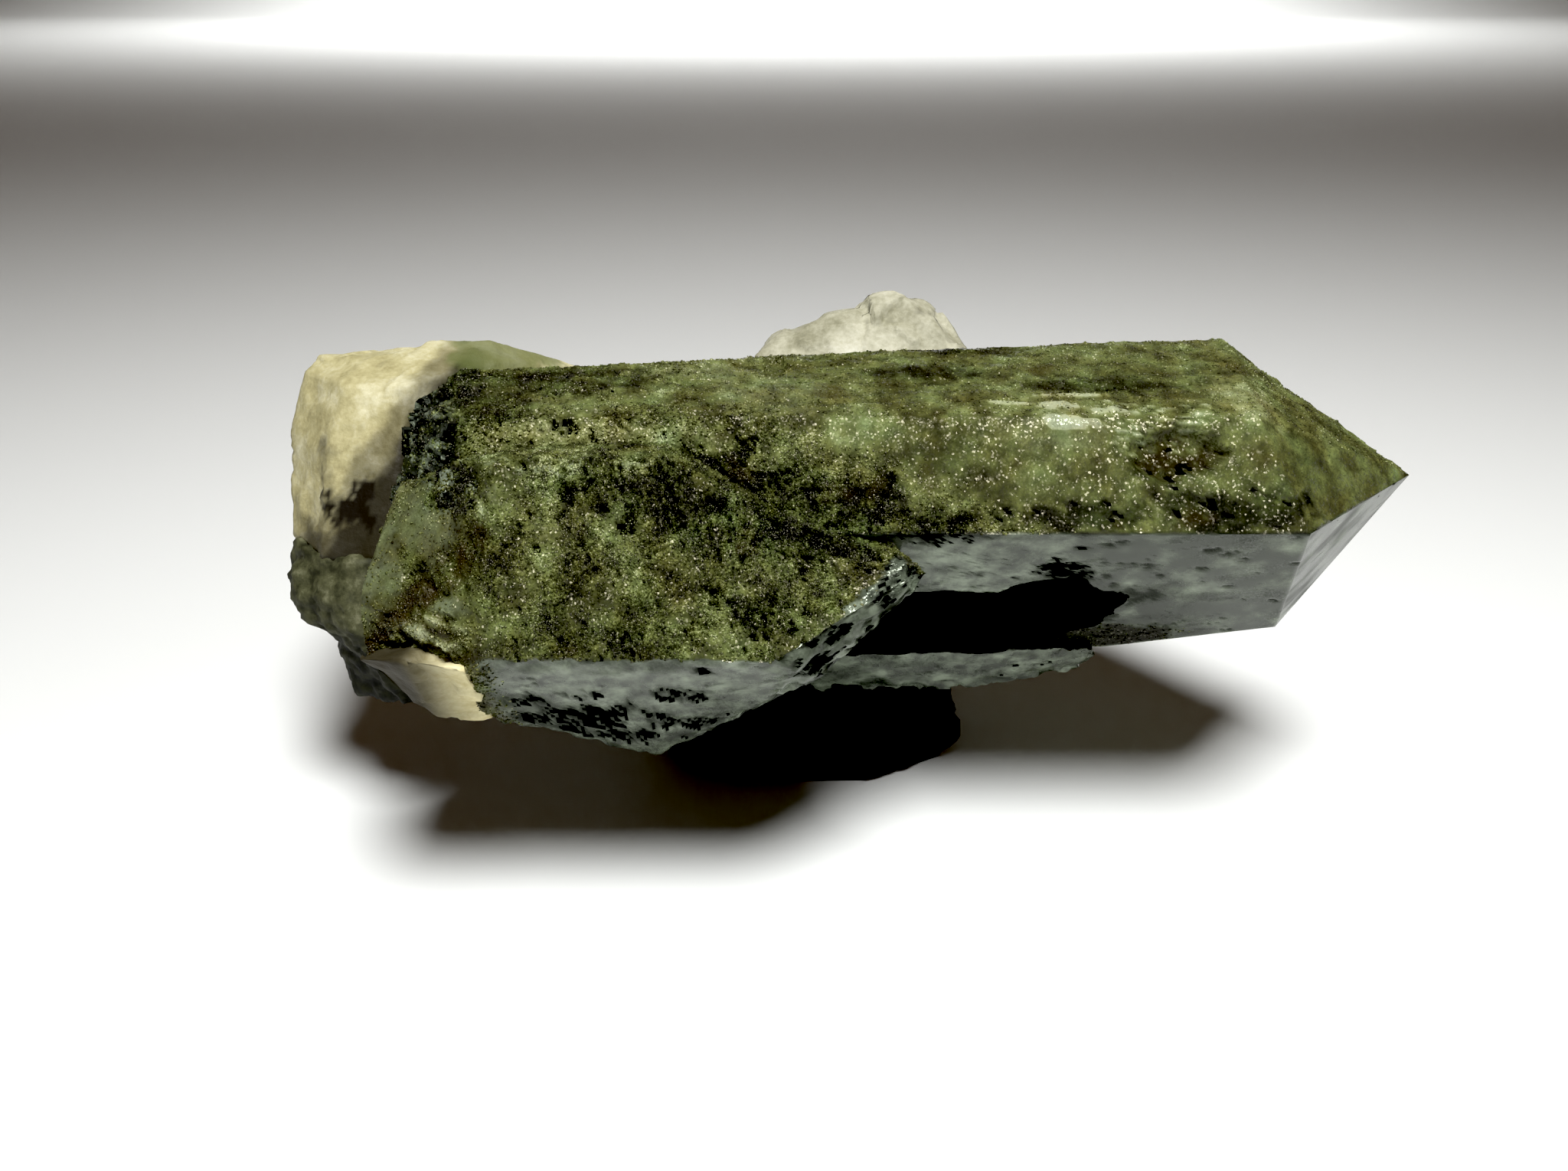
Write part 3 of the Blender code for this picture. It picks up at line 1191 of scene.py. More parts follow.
@dataclass
class QuartzCrystals:
    """The two long crystals, the ledge under them and the foot, which have grown into one solid.

    A crystal's ridges run from its broken left end to its pointed right end, and a face is counted
    by its first ridge. Stations along a ridge are given as X, Y and Z in millimetres.

    Attributes:
        step: The grid spacing of the crystals and the ledge in millimetres.
        foot_step: The grid spacing of the foot.
        hollow_step: The grid spacing of the hollow.
        mossy_over: The moss over which a face takes the crusted finish.
        felt_over: The soot over which a face takes the black felt, on black chlorite and painted shade
            alike.
        sharp_over: The angle in degrees over which an edge is shaded sharp.
        main_broken: Where the main crystal's broken end gives way to its faces, as two X.
        side_broken: The same for the side crystal.
        overhang_z: The height of the overhang's upper edge.
        ripple_mm: The distance from one ripple to the next.
        ripple_bend: How strongly they bend, as a factor of the square of the way along X.
        ripple_middle: The X at which they bend.
        strip_from: The X at which the side crystal's stepped strip is strip_top high.
        strip_top: That height.
        strip_slope: How fast the strip's top edge climbs along X.
        main_ridges: The main crystal's. Its faces are 0 the steep front, 1 the low overhang, which
            ends in the bright end facet, 2 to 4 the back and 5 the top.
        main_break: Where its ridges meet at the broken end.
        main_tip: Where they meet at the pointed end.
        side_ridges: The side crystal's. Its faces are 0 the upper one, 1 the smooth lower one, 2 and
            3 the back and 4 the top.
        side_break: Where its ridges meet at the broken end.
        side_tip: Where they meet at the stepped end.
        ledge_ridges: The ledge's. Its face 0 is the band that shows, and 3 is its top.
        ledge_ends: The points that close the ledge.
        foot_ridges: The foot's, which climb from its flat base into the crystals.
        foot_ends: The points that close the foot.
        hollow_ridges: The hollow's. Its face 2 is its floor.
        hollow_ends: The points that close the hollow.
        notch: The black nick in the overhang's upper edge.
        pit: The dark pit in the main crystal's front.
        ripples: Where growth lines ripple beside the pit.
        across_ripples: The direction across those lines.
        shiny_edge: The glassy stretch of the main crystal's top ridge.
        yellow: Yellow-green parts of the main crystal.
        dark_on_top: Dark parts of its top.
        black_on_main: Black parts of its front.
        grey_veil: Where a thin grey veil covers the green.
        black_on_side: Black parts of the side crystal's upper face.
        stains_below: Black stains on its lower face.
        smudges: Black smudges round the hollow's right end.
        highlight_bars: Flat steps on the top, painted pale as the highlights where they mirror the lamp.
        top_notch: The nick in the top's back edge.
        groove_shade: Painted shade, dark green, in the groove under the hollow where the main crystal meets
            the ledge.
        dark_join: The dark end of the side crystal's top.
        glassy_end: The clean part of its broken end.
        olive_end: The smooth olive part of its broken end.
        grey_facet: A small smooth facet beside that.
        swirl: The streaked lower part of its broken end.
        yellow_end: The yellow part of its broken end.
        ridge_highlight: A line along its top ridge, painted pale as the highlight of the glints there.
    """

    step: float = 0.213
    foot_step: float = 0.4
    hollow_step: float = 0.3
    mossy_over: float = 0.5
    felt_over: float = 0.85
    sharp_over: float = 55.0
    main_broken: tuple[float, float] = (-22.0, -20.4)
    side_broken: tuple[float, float] = (-20.6, -18.8)
    overhang_z: float = 24.0
    ripple_mm: float = 0.5
    ripple_bend: float = 0.03
    ripple_middle: float = 17.4
    strip_from: float = -3.7
    strip_top: float = 18.3
    strip_slope: float = 0.8
    main_ridges: tuple[Ridge, ...] = (
        ((-25.0, -5.6, 29.2), (-21.3, -7.8, 30.3), (4.0, -7.8, 30.3), (23.0, -7.8, 30.3)),
        ((-25.4, -8.4, 25.6), (-21.5, -10.6, 24.3), (4.0, -10.6, 24.3), (25.9, -10.6, 24.3)),
        ((-24.0, -3.5, 14.5), (-19.0, -2.2, 12.3), (17.8, -2.2, 12.3), (28.1, -4.0, 14.8)),
        ((-23.0, 8.5, 14.6), (-19.0, 10.6, 13.4), (17.8, 10.6, 13.4), (26.6, 8.8, 15.4)),
        ((-24.0, 12.0, 20.6), (-20.0, 13.8, 19.6), (4.0, 13.8, 19.6), (24.4, 12.8, 20.2)),
        ((-24.9, -1.4, 29.2), (-22.7, -1.4, 31.0), (4.0, 2.0, 31.3), (24.5, 4.0, 31.5)),
    )
    main_break: Point = (-26.0, 1.5, 23.0)
    main_tip: Point = (RIGHT, -1.7, 24.3)
    side_ridges: tuple[Ridge, ...] = (
        ((-25.0, -8.6, 26.4), (-18.6, -11.9, 29.2), (-9.5, -11.8, 29.4),
         (-3.9, -10.7, 25.6), (3.0, -11.4, 23.6)),
        ((-26.6, -13.0, 21.6), (-19.8, FRONT, 19.5), (-11.0, FRONT, 19.5),
         (-3.7, FRONT, 19.5), (3.6, -12.5, 22.6)),
        ((-26.1, -14.6, 18.4), (-20.2, -11.9, 12.8), (-11.3, -8.1, 7.5),
         (-1.1, -14.0, 17.0), (3.8, -12.6, 21.6)),
        ((-24.4, -7.0, 16.6), (-18.0, -3.0, 10.4), (-11.0, -2.0, 8.4),
         (-1.0, -6.0, 13.6), (2.8, -8.0, 20.0)),
        ((-24.0, -4.6, 26.0), (-18.0, -6.0, 28.4), (-10.0, -6.0, 28.6),
         (-3.0, -7.0, 25.0), (2.4, -8.0, 23.0)),
    )
    side_break: Point = (-26.9, -10.6, 21.4)
    side_tip: Point = (4.6, -11.6, 22.4)
    ledge_ridges: tuple[Ridge, ...] = (
        ((-3.0, -4.4, 13.8), (10.0, -3.9, 13.2), (16.8, -3.5, 12.9)),
        ((-3.0, -0.4, 7.6), (9.0, -0.4, 7.9), (16.4, -1.2, 9.8)),
        ((-3.0, 4.0, 9.4), (9.0, 4.0, 9.8), (15.6, 3.0, 11.2)),
        ((-3.0, 4.0, 15.0), (9.0, 4.0, 15.0), (16.0, 3.0, 14.6)),
    )
    ledge_ends: tuple[Point, Point] = ((-4.0, 2.0, 12.0), (17.3, -2.4, 11.8))
    foot_ridges: tuple[Ridge, ...] = (
        ((-12.0, 3.4, 0.0), (-12.4, 3.0, 2.4), (-11.4, 1.0, 8.0), (-10.0, 1.0, 15.0)),
        ((-6.4, -0.4, 0.0), (-6.6, -1.0, 2.0), (-6.0, -1.6, 8.4), (-5.0, -1.0, 15.0)),
        ((2.6, -0.2, 0.0), (2.8, -0.8, 2.2), (2.0, -0.4, 8.0), (2.0, 0.0, 15.0)),
        ((8.2, 2.8, 0.0), (9.1, 2.8, 2.2), (7.4, 1.6, 8.0), (6.0, 2.0, 15.0)),
        ((9.0, 9.0, 0.0), (9.8, 9.0, 2.0), (8.0, 8.6, 8.4), (6.6, 6.4, 15.0)),
        ((3.0, 13.4, 0.0), (3.4, 14.0, 2.4), (2.6, 11.2, 8.0), (2.0, 7.6, 15.0)),
        ((-7.0, 13.6, 0.0), (-7.6, 14.4, 2.0), (-6.6, 11.6, 8.0), (-5.0, 7.6, 15.0)),
        ((-12.6, 9.6, 0.0), (-13.4, 9.8, 2.2), (-11.8, 8.4, 8.2), (-10.0, 6.4, 15.0)),
    )
    foot_ends: tuple[Point, Point] = ((-2.0, 7.0, 0.0), (-2.0, 5.0, 16.0))
    hollow_ridges: tuple[Ridge, ...] = (
        ((0.5, -8.6, 18.5), (9.6, -8.4, 18.5), (11.5, -9.0, 19.6),
         (13.8, -9.0, 20.0), (16.0, -8.4, 18.9)),
        ((0.5, -2.0, 19.6), (9.6, -2.2, 19.6), (11.5, -4.0, 20.4),
         (13.8, -6.0, 20.8), (16.0, -5.2, 18.9)),
        ((0.5, 0.6, 13.8), (9.6, 0.4, 13.6), (11.5, -0.6, 13.4),
         (13.8, -1.6, 13.4), (16.0, -3.2, 14.6)),
        ((0.5, -5.2, 11.8), (9.6, -5.0, 12.2), (11.5, -5.0, 12.2),
         (13.8, -5.4, 12.6), (16.0, -6.2, 14.2)),
    )
    hollow_ends: tuple[Point, Point] = ((-0.8, -3.6, 16.0), (19.6, -7.2, 17.4))

    notch: Patch = Patch((5.4, -10.6, 24.5), (3.0, 1.4, 1.0), 3, 0.9)
    pit: Patch = Patch((18.4, -9.0, 28.2), (2.4, 2.0, 1.3), 12, 0.5)
    ripples: Patch = Patch((17.4, -7.8, 29.8), (3.6, 2.6, 1.7), 13, 0.4)
    across_ripples: Point = (-0.26, 0.45, 0.89)
    shiny_edge: Patch = Patch((14.0, -7.8, 30.0), (6.0, 1.6, 0.8), 15, 0.8)
    yellow: tuple[Patch, ...] = (
        Patch((-15.5, -8.4, 29.3), (5.5, 2.0, 0.9), 14, 0.6),
        Patch((23.5, -5.5, 30.4), (2.6, 3.0, 1.5), 16, 0.6),
        Patch((-8.6, -8.4, 29.0), (3.0, 2.0, 0.8), 17, 0.6),
    )
    dark_on_top: tuple[Patch, ...] = (
        Patch((-16.5, -3.2, 30.8), (6.0, 1.9, 1.0), 18, 0.5),
        Patch((-19.8, -6.6, 30.4), (2.2, 2.4, 1.2), 19, 0.5),
        Patch((14.5, -3.8, 30.7), (4.2, 1.0, 1.0), 20, 0.5),
        Patch((4.7, -2.0, 30.9), (3.4, 1.0, 1.0), 21, 0.5),
        Patch((8.0, 2.0, 31.3), (3.0, 1.2, 1.0), 22, 0.5),
    )
    black_on_main: tuple[Patch, ...] = (
        Patch((-7.6, -9.0, 27.6), (2.6, 3.0, 1.1), 48, 0.8),
        Patch((-3.6, -9.8, 26.2), (3.6, 3.0, 1.5), 49, 0.8),
        Patch((0.6, -10.0, 25.8), (3.4, 3.0, 1.3), 50, 0.8),
        Patch((5.0, -10.4, 24.8), (3.0, 3.0, 0.8), 51, 0.8),
        Patch((22.0, -10.2, 25.4), (4.5, 2.0, 0.9), 52, 0.8),
        Patch((13.5, -10.3, 25.2), (4.0, 2.0, 0.7), 53, 0.8),
        Patch((18.4, -9.2, 27.8), (2.0, 2.0, 1.0), 54, 0.7),
    )
    grey_veil: tuple[Patch, ...] = (
        Patch((-4.0, -5.0, 30.6), (3.4, 3.0, 1.2), 55, 0.6),
        Patch((12.0, -8.2, 29.4), (3.4, 2.0, 1.1), 56, 0.6),
        Patch((-8.0, -2.0, 31.0), (3.0, 1.4, 1.0), 58, 0.6),
    )
    black_on_side: tuple[Patch, ...] = (
        Patch((-13.6, -12.4, 27.8), (2.4, 4.0, 0.8), 44, 0.8),
        Patch((-10.6, -12.4, 27.8), (3.4, 4.0, 1.3), 45, 0.8),
        Patch((-7.0, -12.2, 26.0), (3.0, 4.0, 1.6), 46, 0.8),
        Patch((-3.4, -12.6, 24.8), (3.4, 4.0, 1.5), 47, 0.8),
        Patch((0.4, -12.6, 24.2), (2.6, 4.0, 1.0), 43, 0.8),
        Patch((-4.4, -14.6, 21.6), (1.6, 4.0, 1.1), 42, 0.8),
        Patch((-12.2, -15.4, 20.7), (1.0, 4.0, 0.7), 57, 0.8),
    )
    stains_below: tuple[Patch, ...] = (
        Patch((-15.2, -11.5, 13.4), (3.8, 9.0, 2.0), 61, 0.8),
        Patch((-18.4, -12.5, 15.4), (1.8, 9.0, 0.8), 59, 0.8),
        Patch((-8.9, -13.5, 15.9), (1.5, 9.0, 0.7), 62, 0.7),
        Patch((-8.6, -10.5, 12.2), (3.4, 9.0, 0.9), 63, 0.7),
        Patch((-12.6, -9.0, 10.8), (2.6, 9.0, 0.9), 64, 0.8),
    )
    smudges: tuple[Patch, ...] = (
        Patch((13.6, -8.0, 20.5), (1.7, 2.0, 1.1), 71, 0.9),
        Patch((17.8, -6.6, 18.0), (2.4, 2.0, 0.7), 72, 0.9),
        Patch((15.4, -4.8, 15.6), (1.8, 2.0, 0.8), 85, 0.9),
    )
    highlight_bars: tuple[Patch, ...] = (
        Patch((12.0, -6.7, 30.4), (1.1, 0.36, 0.6), 73, 0.5),
        Patch((12.4, -8.0, 30.0), (1.7, 0.5, 0.4), 74, 0.5),
        Patch((14.9, -7.2, 30.4), (0.9, 0.22, 0.5), 76, 0.5),
        Patch((9.4, -6.2, 30.4), (1.4, 0.16, 0.5), 77, 0.4),
        Patch((13.8, -5.4, 30.6), (2.4, 0.14, 0.5), 78, 0.4),
    )
    top_notch: Patch = Patch((-3.9, -0.9, 31.1), (0.7, 1.6, 0.9), 79, 0.3)
    groove_shade: tuple[Patch, ...] = (
        Patch((9.0, -3.0, 13.4), (14.5, 4.0, 2.3), 60, 0.3),
        Patch((16.6, -3.2, 13.2), (6.0, 4.0, 1.3), 84, 0.6),
    )
    dark_join: Patch = Patch((-22.0, -11.2, 27.3), (2.2, 2.8, 1.1), 86, 0.5)
    glassy_end: Patch = Patch((-22.6, -11.0, 25.5), (4.4, 5.0, 2.0), 66, 0.6)
    olive_end: Patch = Patch((-25.6, -11.5, 22.0), (1.7, 5.0, 3.0), 67, 0.25)
    grey_facet: Patch = Patch((-21.2, -14.6, 21.8), (1.6, 3.0, 0.5), 68, 0.2)
    swirl: Patch = Patch((-21.4, -15.0, 19.6), (3.9, 3.0, 1.9), 69, 0.35)
    yellow_end: Patch = Patch((-20.2, -14.2, 23.2), (1.3, 3.0, 1.3), 70, 0.5)
    ridge_highlight: tuple[Patch, ...] = (
        Patch((-15.5, -12.0, 28.9), (4.4, 3.0, 0.5), 80, 0.6),
        Patch((-10.5, -12.0, 28.8), (1.8, 3.0, 0.5), 81, 0.6),
        Patch((-20.6, -11.2, 27.4), (2.2, 3.0, 0.9), 82, 0.8),
    )

    def bare_marks(self, points: Array, seed: int, more: Array | float = 0.0) -> Array:
        """Black specks and faint slanting streaks of chlorite on a bare face.

        Specks are where a lumpy noise is high. Streaks are where a noise drawn out along a slope of
        one in three is high, and clouds where a wider one is, and both are under half as dark.

        Args:
            points: Positions in millimetres, shape (..., 3).
            seed: Picks the pattern.
            more: Added to the lumpy noise, so that more of the face is specked.

        Returns:
            The marks' strength, 0 to 1.
        """
        x, z = points[..., 0], points[..., 2]
        slanting = np.stack([0.2 * x, 0 * x, z - 0.33 * x], axis=-1)
        specks = fractal(points * np.array([0.6, 1, 1]), 1.3, seed, 5, 0.66) + more
        streaks = fractal(slanting, 0.7, seed + 1, 3, 0.6) + 0.5 * more
        clouds = fractal(points * np.array([0.5, 1, 1]), 2.6, seed + 2, 3) + more
        marks = np.maximum(smooth(specks, 0.3, 0.72), 0.45 * smooth(streaks, 0.25, 0.7))
        return np.maximum(marks, 0.4 * smooth(clouds, 0.0, 0.6))

    def mottles(self, points: Array) -> Array:
        """Grey spots of quartz that show through the black of the broken end, from 0 to 1."""
        return smooth(fractal(points, 1.1, 22, 5, 0.65), -0.05, 0.4)

    def tufts(self, points: Array) -> Array:
        """The share of the crust that is loose flakes: 1 in wide tufts and 0.25 between them."""
        return 0.25 + 0.75 * smooth(fractal(points, 2.8, 15, 4, 0.6), -0.35, 0.35)

    def main_crystal(self) -> bpy.types.Mesh:
        """The main crystal: a level prism with a crusted top and front and bare faces below.

        The height and each field are sums of patterns, each times the part of the surface it is on.

        Returns:
            Its closed mesh.
        """
        skin = stretch(self.main_ridges, self.main_break, self.main_tip, self.step, coarse=(2, 3, 4))
        points = skin.points
        x, z = points[..., 0], points[..., 2]
        along = np.broadcast_to(skin.along[:, None], points.shape[:2])
        broken = 1 - smooth(x + 0.8 * fractal(points, 1.6, 26, 3), *self.main_broken)
        low = skin.face(1) * (1 - broken)
        tip = low * smooth(along, 4.0, 4.02)
        top = skin.face(5) * (1 - broken)
        back = skin.face(2, 3, 4) * (1 - broken)
        moss = 1 - low - back
        # Marks on the bare faces, painted shade in the groove under the hollow, and loops in the pit.
        under = low * patches(points, *self.groove_shade)
        rim = np.exp(-np.abs(z - self.overhang_z) / 0.5)
        more = (0.12 + 0.2 * smooth(x, 12.0, 8.0)) * rim - 0.06 * smooth(x, 15.0, 20.0) - 0.5 * tip
        specks = np.maximum(self.bare_marks(points, 5, more), self.notch.on(points))
        marks = low * np.maximum(specks, patches(points, *self.smudges))
        pit = self.pit.on(points)
        loops = pit * np.exp(-((np.mod(5 * fractal(points, 1.6, 29, 3), 1.0) - 0.5) ** 2) * 40)
        black = patches(points, *self.black_on_main)
        dark = patches(points, *self.dark_on_top)
        veil = patches(points, *self.grey_veil)
        yellow = patches(points, *self.yellow)
        # Painted highlight: flat steps on the top are made pale, as if they mirrored the lamp.
        highlight_bars = patches(points, *self.highlight_bars) * moss
        # The crust, which thins out towards the pointed end, and the holes in it.
        grainy = smooth(x + 2.5 * (z - 27.0) + 3.0 * fractal(points, 4.0, 9, 3), 8.0, -2.0)
        inland = smooth(skin.ridge_distance(), 0.0, 1.8)
        crust = moss * grainy * (1 - 0.6 * top * inland) * (1 - 0.7 * yellow)
        crust = np.maximum(crust * np.maximum(self.tufts(points), black), 0.15 * top)
        pores = fractal(points, 0.9, 10, 4, 0.7) + 0.34 * black + 0.25 * dark
        wide = fractal(points, 1.5, 12, 5, 0.75) + 0.42 * black * grainy + 0.2 * grainy - 0.16
        pores = np.maximum(pores, wide)
        holes = moss * smooth(pores, 0.64, 0.84) * unit(grainy + black + dark)
        # Growth lines along the crystal, and ripples across it.
        drawn_out = points * np.array([0.07, 1.0, 1.0])
        stria = noise(drawn_out, 0.8, 11) + 0.7 * noise(drawn_out * np.array([2.0, 1, 1]), 0.35, 13)
        across = points @ np.array(self.across_ripples) + self.ripple_bend * (x - self.ripple_middle) ** 2
        rippled = moss * self.ripples.on(points) * smooth(fractal(points, 1.3, 33, 3), -0.5, 0.1)
        ripple = rippled * np.sin(
            across * 2 * math.pi / self.ripple_mm + 3 * fractal(points, 1.6, 27, 3)
        )
        # The ripple crests are pale growth lines, painted paler still as the highlights along them.
        lines = smooth(ripple, 0.2, 0.8)
        shiny = self.shiny_edge.on(points)
        mottle = self.mottles(points)
        end_face = broken * smooth(z, 30.9, 29.6)
        # Veins climb the end facet.
        climb = np.stack([0.3 * (x + z), 0 * x, z - 0.75 * x], axis=-1)
        veins = tip * smooth(fractal(climb, 1.6, 34, 3, 0.5), -0.5, 0.9)
        height = (
            moss * (0.12 * fractal(points, 2.4, 1, 4) + (0.05 + 0.07 * grainy) * fractal(points, 0.5, 2, 2))
            + crust * 0.12 * shards(points, 0.5, 17)[0]
            + (top + 0.4 * moss) * 0.07 * stria
            + ripple * 0.06
            + highlight_bars * 0.12
            + shiny * 0.1 * shards(drawn_out * np.array([4, 1, 1]), 0.6, 30)[0]
            + (low + back) * 0.015 * fractal(points, 3.0, 4, 3)
            - pit * 0.6
            - holes * 0.35
            - smooth(marks, 0.5, 1.0) * 0.1
            - moss * smooth(z, 27.0, 28.0) * 0.22 * unit(1 - skin.ridge_distance() / 1.33) ** 2
            - self.top_notch.on(points) * 0.5
            + broken * 0.3 * shards(points, 1.8, 8)[0]
        )
        tone = 0.51 + 0.12 * fractal(points, 4.5, 21, 3) - 0.1 * crust
        tone += 0.2 * yellow + 0.1 * veil - 0.27 * black - 0.26 * dark
        # The ripple crests and the flat steps on the top are painted lighter as highlights.
        tone += top * (0.05 * stria + 0.03) - 0.08 * pit + 0.3 * loops + 0.4 * lines + 0.8 * highlight_bars
        fields = {
            "moss": unit(
                np.maximum(
                    moss * (1 - 0.15 * veil) - 0.4 * highlight_bars - 0.3 * lines - 0.6 * end_face, 0.8 * under
                )
            ),
            "crust": np.maximum(crust * (1 - 0.7 * end_face), 0.15 * under),
            "tone": tone - 0.4 * under - broken * (0.28 - 0.2 * mottle),
            "rust": unit(
                0.4 * pit + 0.1 * top + 0.4 * moss * smooth(fractal(points, 2.6, 23, 4), 0.3, 0.8)
            ),
            "soot": unit(
                (0.92 - 0.24 * smooth(x, 14.0, 16.0)) * marks
                # The holes are black chlorite, painted darker still as the shade at their bottoms.
                + 0.95 * holes
                + 0.6 * under
                + 0.35 * veins
                + 0.14 * tip
                + broken * smooth(fractal(points, 1.2, 24, 4), -0.3, 0.1) * (1 - mottle)
            ),
            "haze": unit(
                # On the low faces part of this is a painted reflection of the pale floor.
                (low + back) * (0.48 - 0.4 * low * smooth(x, 8.0, 20.0))
                + (0.5 * low + 0.15 * back) * fractal(points, 2.0, 25, 4, 0.5)
                + 0.14 * low * fractal(points, 6.0, 32, 2)
                + 0.15 * tip
                + 0.3 * moss * veil
                + 0.8 * (lines + highlight_bars)
                + end_face * mottle
            ),
            "glaze": unit(
                (low + 0.9 * back) * (1 - np.maximum(0.8 * marks, under))
                + moss
                * (0.12 * (1 - grainy) * (1 - skin.near_ridge(1.2)) + 0.4 * shiny)
                * (1 - 0.5 * broken)
            ),
        }
        return skin_mesh("main_crystal", skin.raised(height), fields)

    def side_crystal(self) -> bpy.types.Mesh:
        """The side crystal: a crusted upper face over a smooth lower face that ends in a stepped strip.

        The height and each field are sums of patterns, each times the part of the surface it is on.

        Returns:
            Its closed mesh.
        """
        skin = stretch(self.side_ridges, self.side_break, self.side_tip, self.step, coarse=(2, 3))
        points = skin.points
        x, z = points[..., 0], points[..., 2]
        broken = 1 - smooth(x + 0.6 * fractal(points, 1.4, 27, 3), *self.side_broken)
        # The smooth lower face laps over the crusted one beside the strip.
        rise = self.strip_top + self.strip_slope * (x - self.strip_from)
        rise = rise + 0.9 * fractal(points, 1.3, 42, 4, 0.6)
        lip = skin.face(0) * smooth(rise - z, -0.2, 0.3) * smooth(x, -5.2, -4.2)
        low = unit(skin.face(1) + lip) * (1 - broken)
        strip = smooth(x, -4.5, -2.5) * low
        rim = skin.near_ridge(0.7) * smooth(z, 17.0, 15.0) * smooth(fractal(points, 1.0, 50, 3), -0.8, -0.1)
        stains = patches(points, *self.stains_below) * smooth(fractal(points, 0.7, 39, 4, 0.7), -0.85, 0.0)
        slanting = np.stack([0.35 * (x + z), 0 * x, z - 0.9 * x], axis=-1)
        seams = strip * smooth(fractal(slanting, 0.9, 35, 3, 0.6), 0.1, 0.35)
        more = 0.3 * patches(points, *self.stains_below) - 0.05
        marks = low * unit(np.maximum(stains, self.bare_marks(points, 33, more)) + seams) * (1 - rim)
        moss = unit(skin.face(0, 4) + broken * skin.face(1) - lip)
        black = patches(points, *self.black_on_side)
        # Painted highlight: a pale line along the top ridge, where glints catch the lamp.
        pale = patches(points, *self.ridge_highlight) * smooth(fractal(points, 0.7, 45, 4, 0.7), -0.3, 0.4)
        join = self.dark_join.on(points) * skin.face(0, 4)
        mottle = self.mottles(points)
        pores = fractal(points, 0.9, 30, 4, 0.7) + 0.34 * black
        pores = np.maximum(pores, fractal(points, 1.5, 12, 5, 0.75) + 0.42 * black + 0.04)
        holes = moss * smooth(pores, 0.64, 0.84) * (1 - broken)
        # A brown band slants across the broken end, about 2 mm wide.
        band = smooth(x, -18.2, -19.6) * np.exp(-((z - 25.0 + 0.95 * (-19.8 - x)) ** 2))
        band *= smooth(fractal(points, 1.2, 46, 4, 0.6), -0.7, 0.2)
        # The parts of the broken end.
        glassy, olive = self.glassy_end.on(points), self.olive_end.on(points)
        facet, swirl, yellow = self.grey_facet.on(points), self.swirl.on(points), self.yellow_end.on(points)
        flow = np.stack([0.3 * x, 0 * x, 1.4 * z + 0.5 * np.sin(1.1 * x)], axis=-1)
        streaks = swirl * broken * smooth(fractal(flow, 0.9, 28, 4, 0.6), -0.25, 0.3)
        plain = 0.85 * unit(glassy + olive + facet) * smooth(x, -19.0, -21.0)
        plain *= (1 - band) * (1 - swirl) * (1 - join)
        crust = moss * (1 - plain) * np.maximum(self.tufts(points), black)
        serrated = skin.near_ridge(0.9) * unit(skin.face(1, 2)) * smooth(x, -21.0, -19.0)
        height = (
            crust * (0.2 * fractal(points, 1.8, 31, 4) + 0.13 * fractal(points, 0.5, 32, 2))
            + crust * 0.16 * shards(points, 0.5, 37)[0]
            + low * 0.02 * fractal(points, 2.0, 34, 3)
            + strip * 0.3 * shards(slanting, 1.0, 29)[0]
            - smooth(marks, 0.5, 1.0) * 0.1
            - holes * 0.4
            - skin.near_ridge(0.5) * 0.12 * (1 + fractal(points, 1.0, 36, 3))
            - serrated * 0.25 * smooth(fractal(points, 1.4, 40, 3), -0.2, 0.5)
            + broken * (1 - plain) * 0.35 * shards(points, 1.4, 38)[0]
            + streaks * 0.3
            - band * 0.2
        )
        tone = 0.48 + 0.1 * fractal(points, 4.0, 41, 3) - 0.15 * crust - 0.17 * black
        tone += broken * (0.05 * yellow - 0.1 * swirl) + 0.6 * streaks
        tone += 0.13 * plain + 0.35 * pale - 0.2 * band - 0.2 * join
        fields = {
            "moss": unit(
                moss - plain * (0.35 + 0.1 * facet) - 0.4 * streaks - 0.4 * pale - 0.6 * join * mottle
            ),
            "crust": crust,
            "tone": tone,
            "rust": unit(
                0.8 * band
                + broken * (0.2 * yellow + 0.45 * swirl * (1 - streaks))
                + 0.32 * plain
                + 0.4 * crust * smooth(fractal(points, 2.6, 48, 4), 0.4, 0.8)
            ),
            "soot": unit(
                0.92 * marks
                # The holes are black chlorite, painted darker still as the shade at their bottoms.
                + 0.95 * holes
                + 0.5 * band * smooth(fractal(points, 0.8, 44, 3), -0.1, 0.4)
                + 0.8 * broken * swirl * (1 - streaks) * smooth(fractal(flow, 0.9, 47, 3), -0.1, 0.4)
                + join * smooth(fractal(points, 1.2, 24, 4), -0.3, 0.1) * (1 - mottle)
            ),
            "haze": unit(
                # On the low faces part of this is a painted reflection of the pale floor.
                low * (0.44 + 0.4 * fractal(points, 1.4, 49, 4, 0.5) + 0.4 * rim)
                - 0.1 * lip
                + plain * (0.5 + 0.3 * facet)
                + 0.9 * streaks
                + 0.9 * pale
                + join * mottle
            ),
            "glaze": unit(low * (1 - 0.8 * marks) * (1 - 0.45 * lip) + 0.5 * plain),
        }
        return skin_mesh("side_crystal", skin.raised(height), fields)

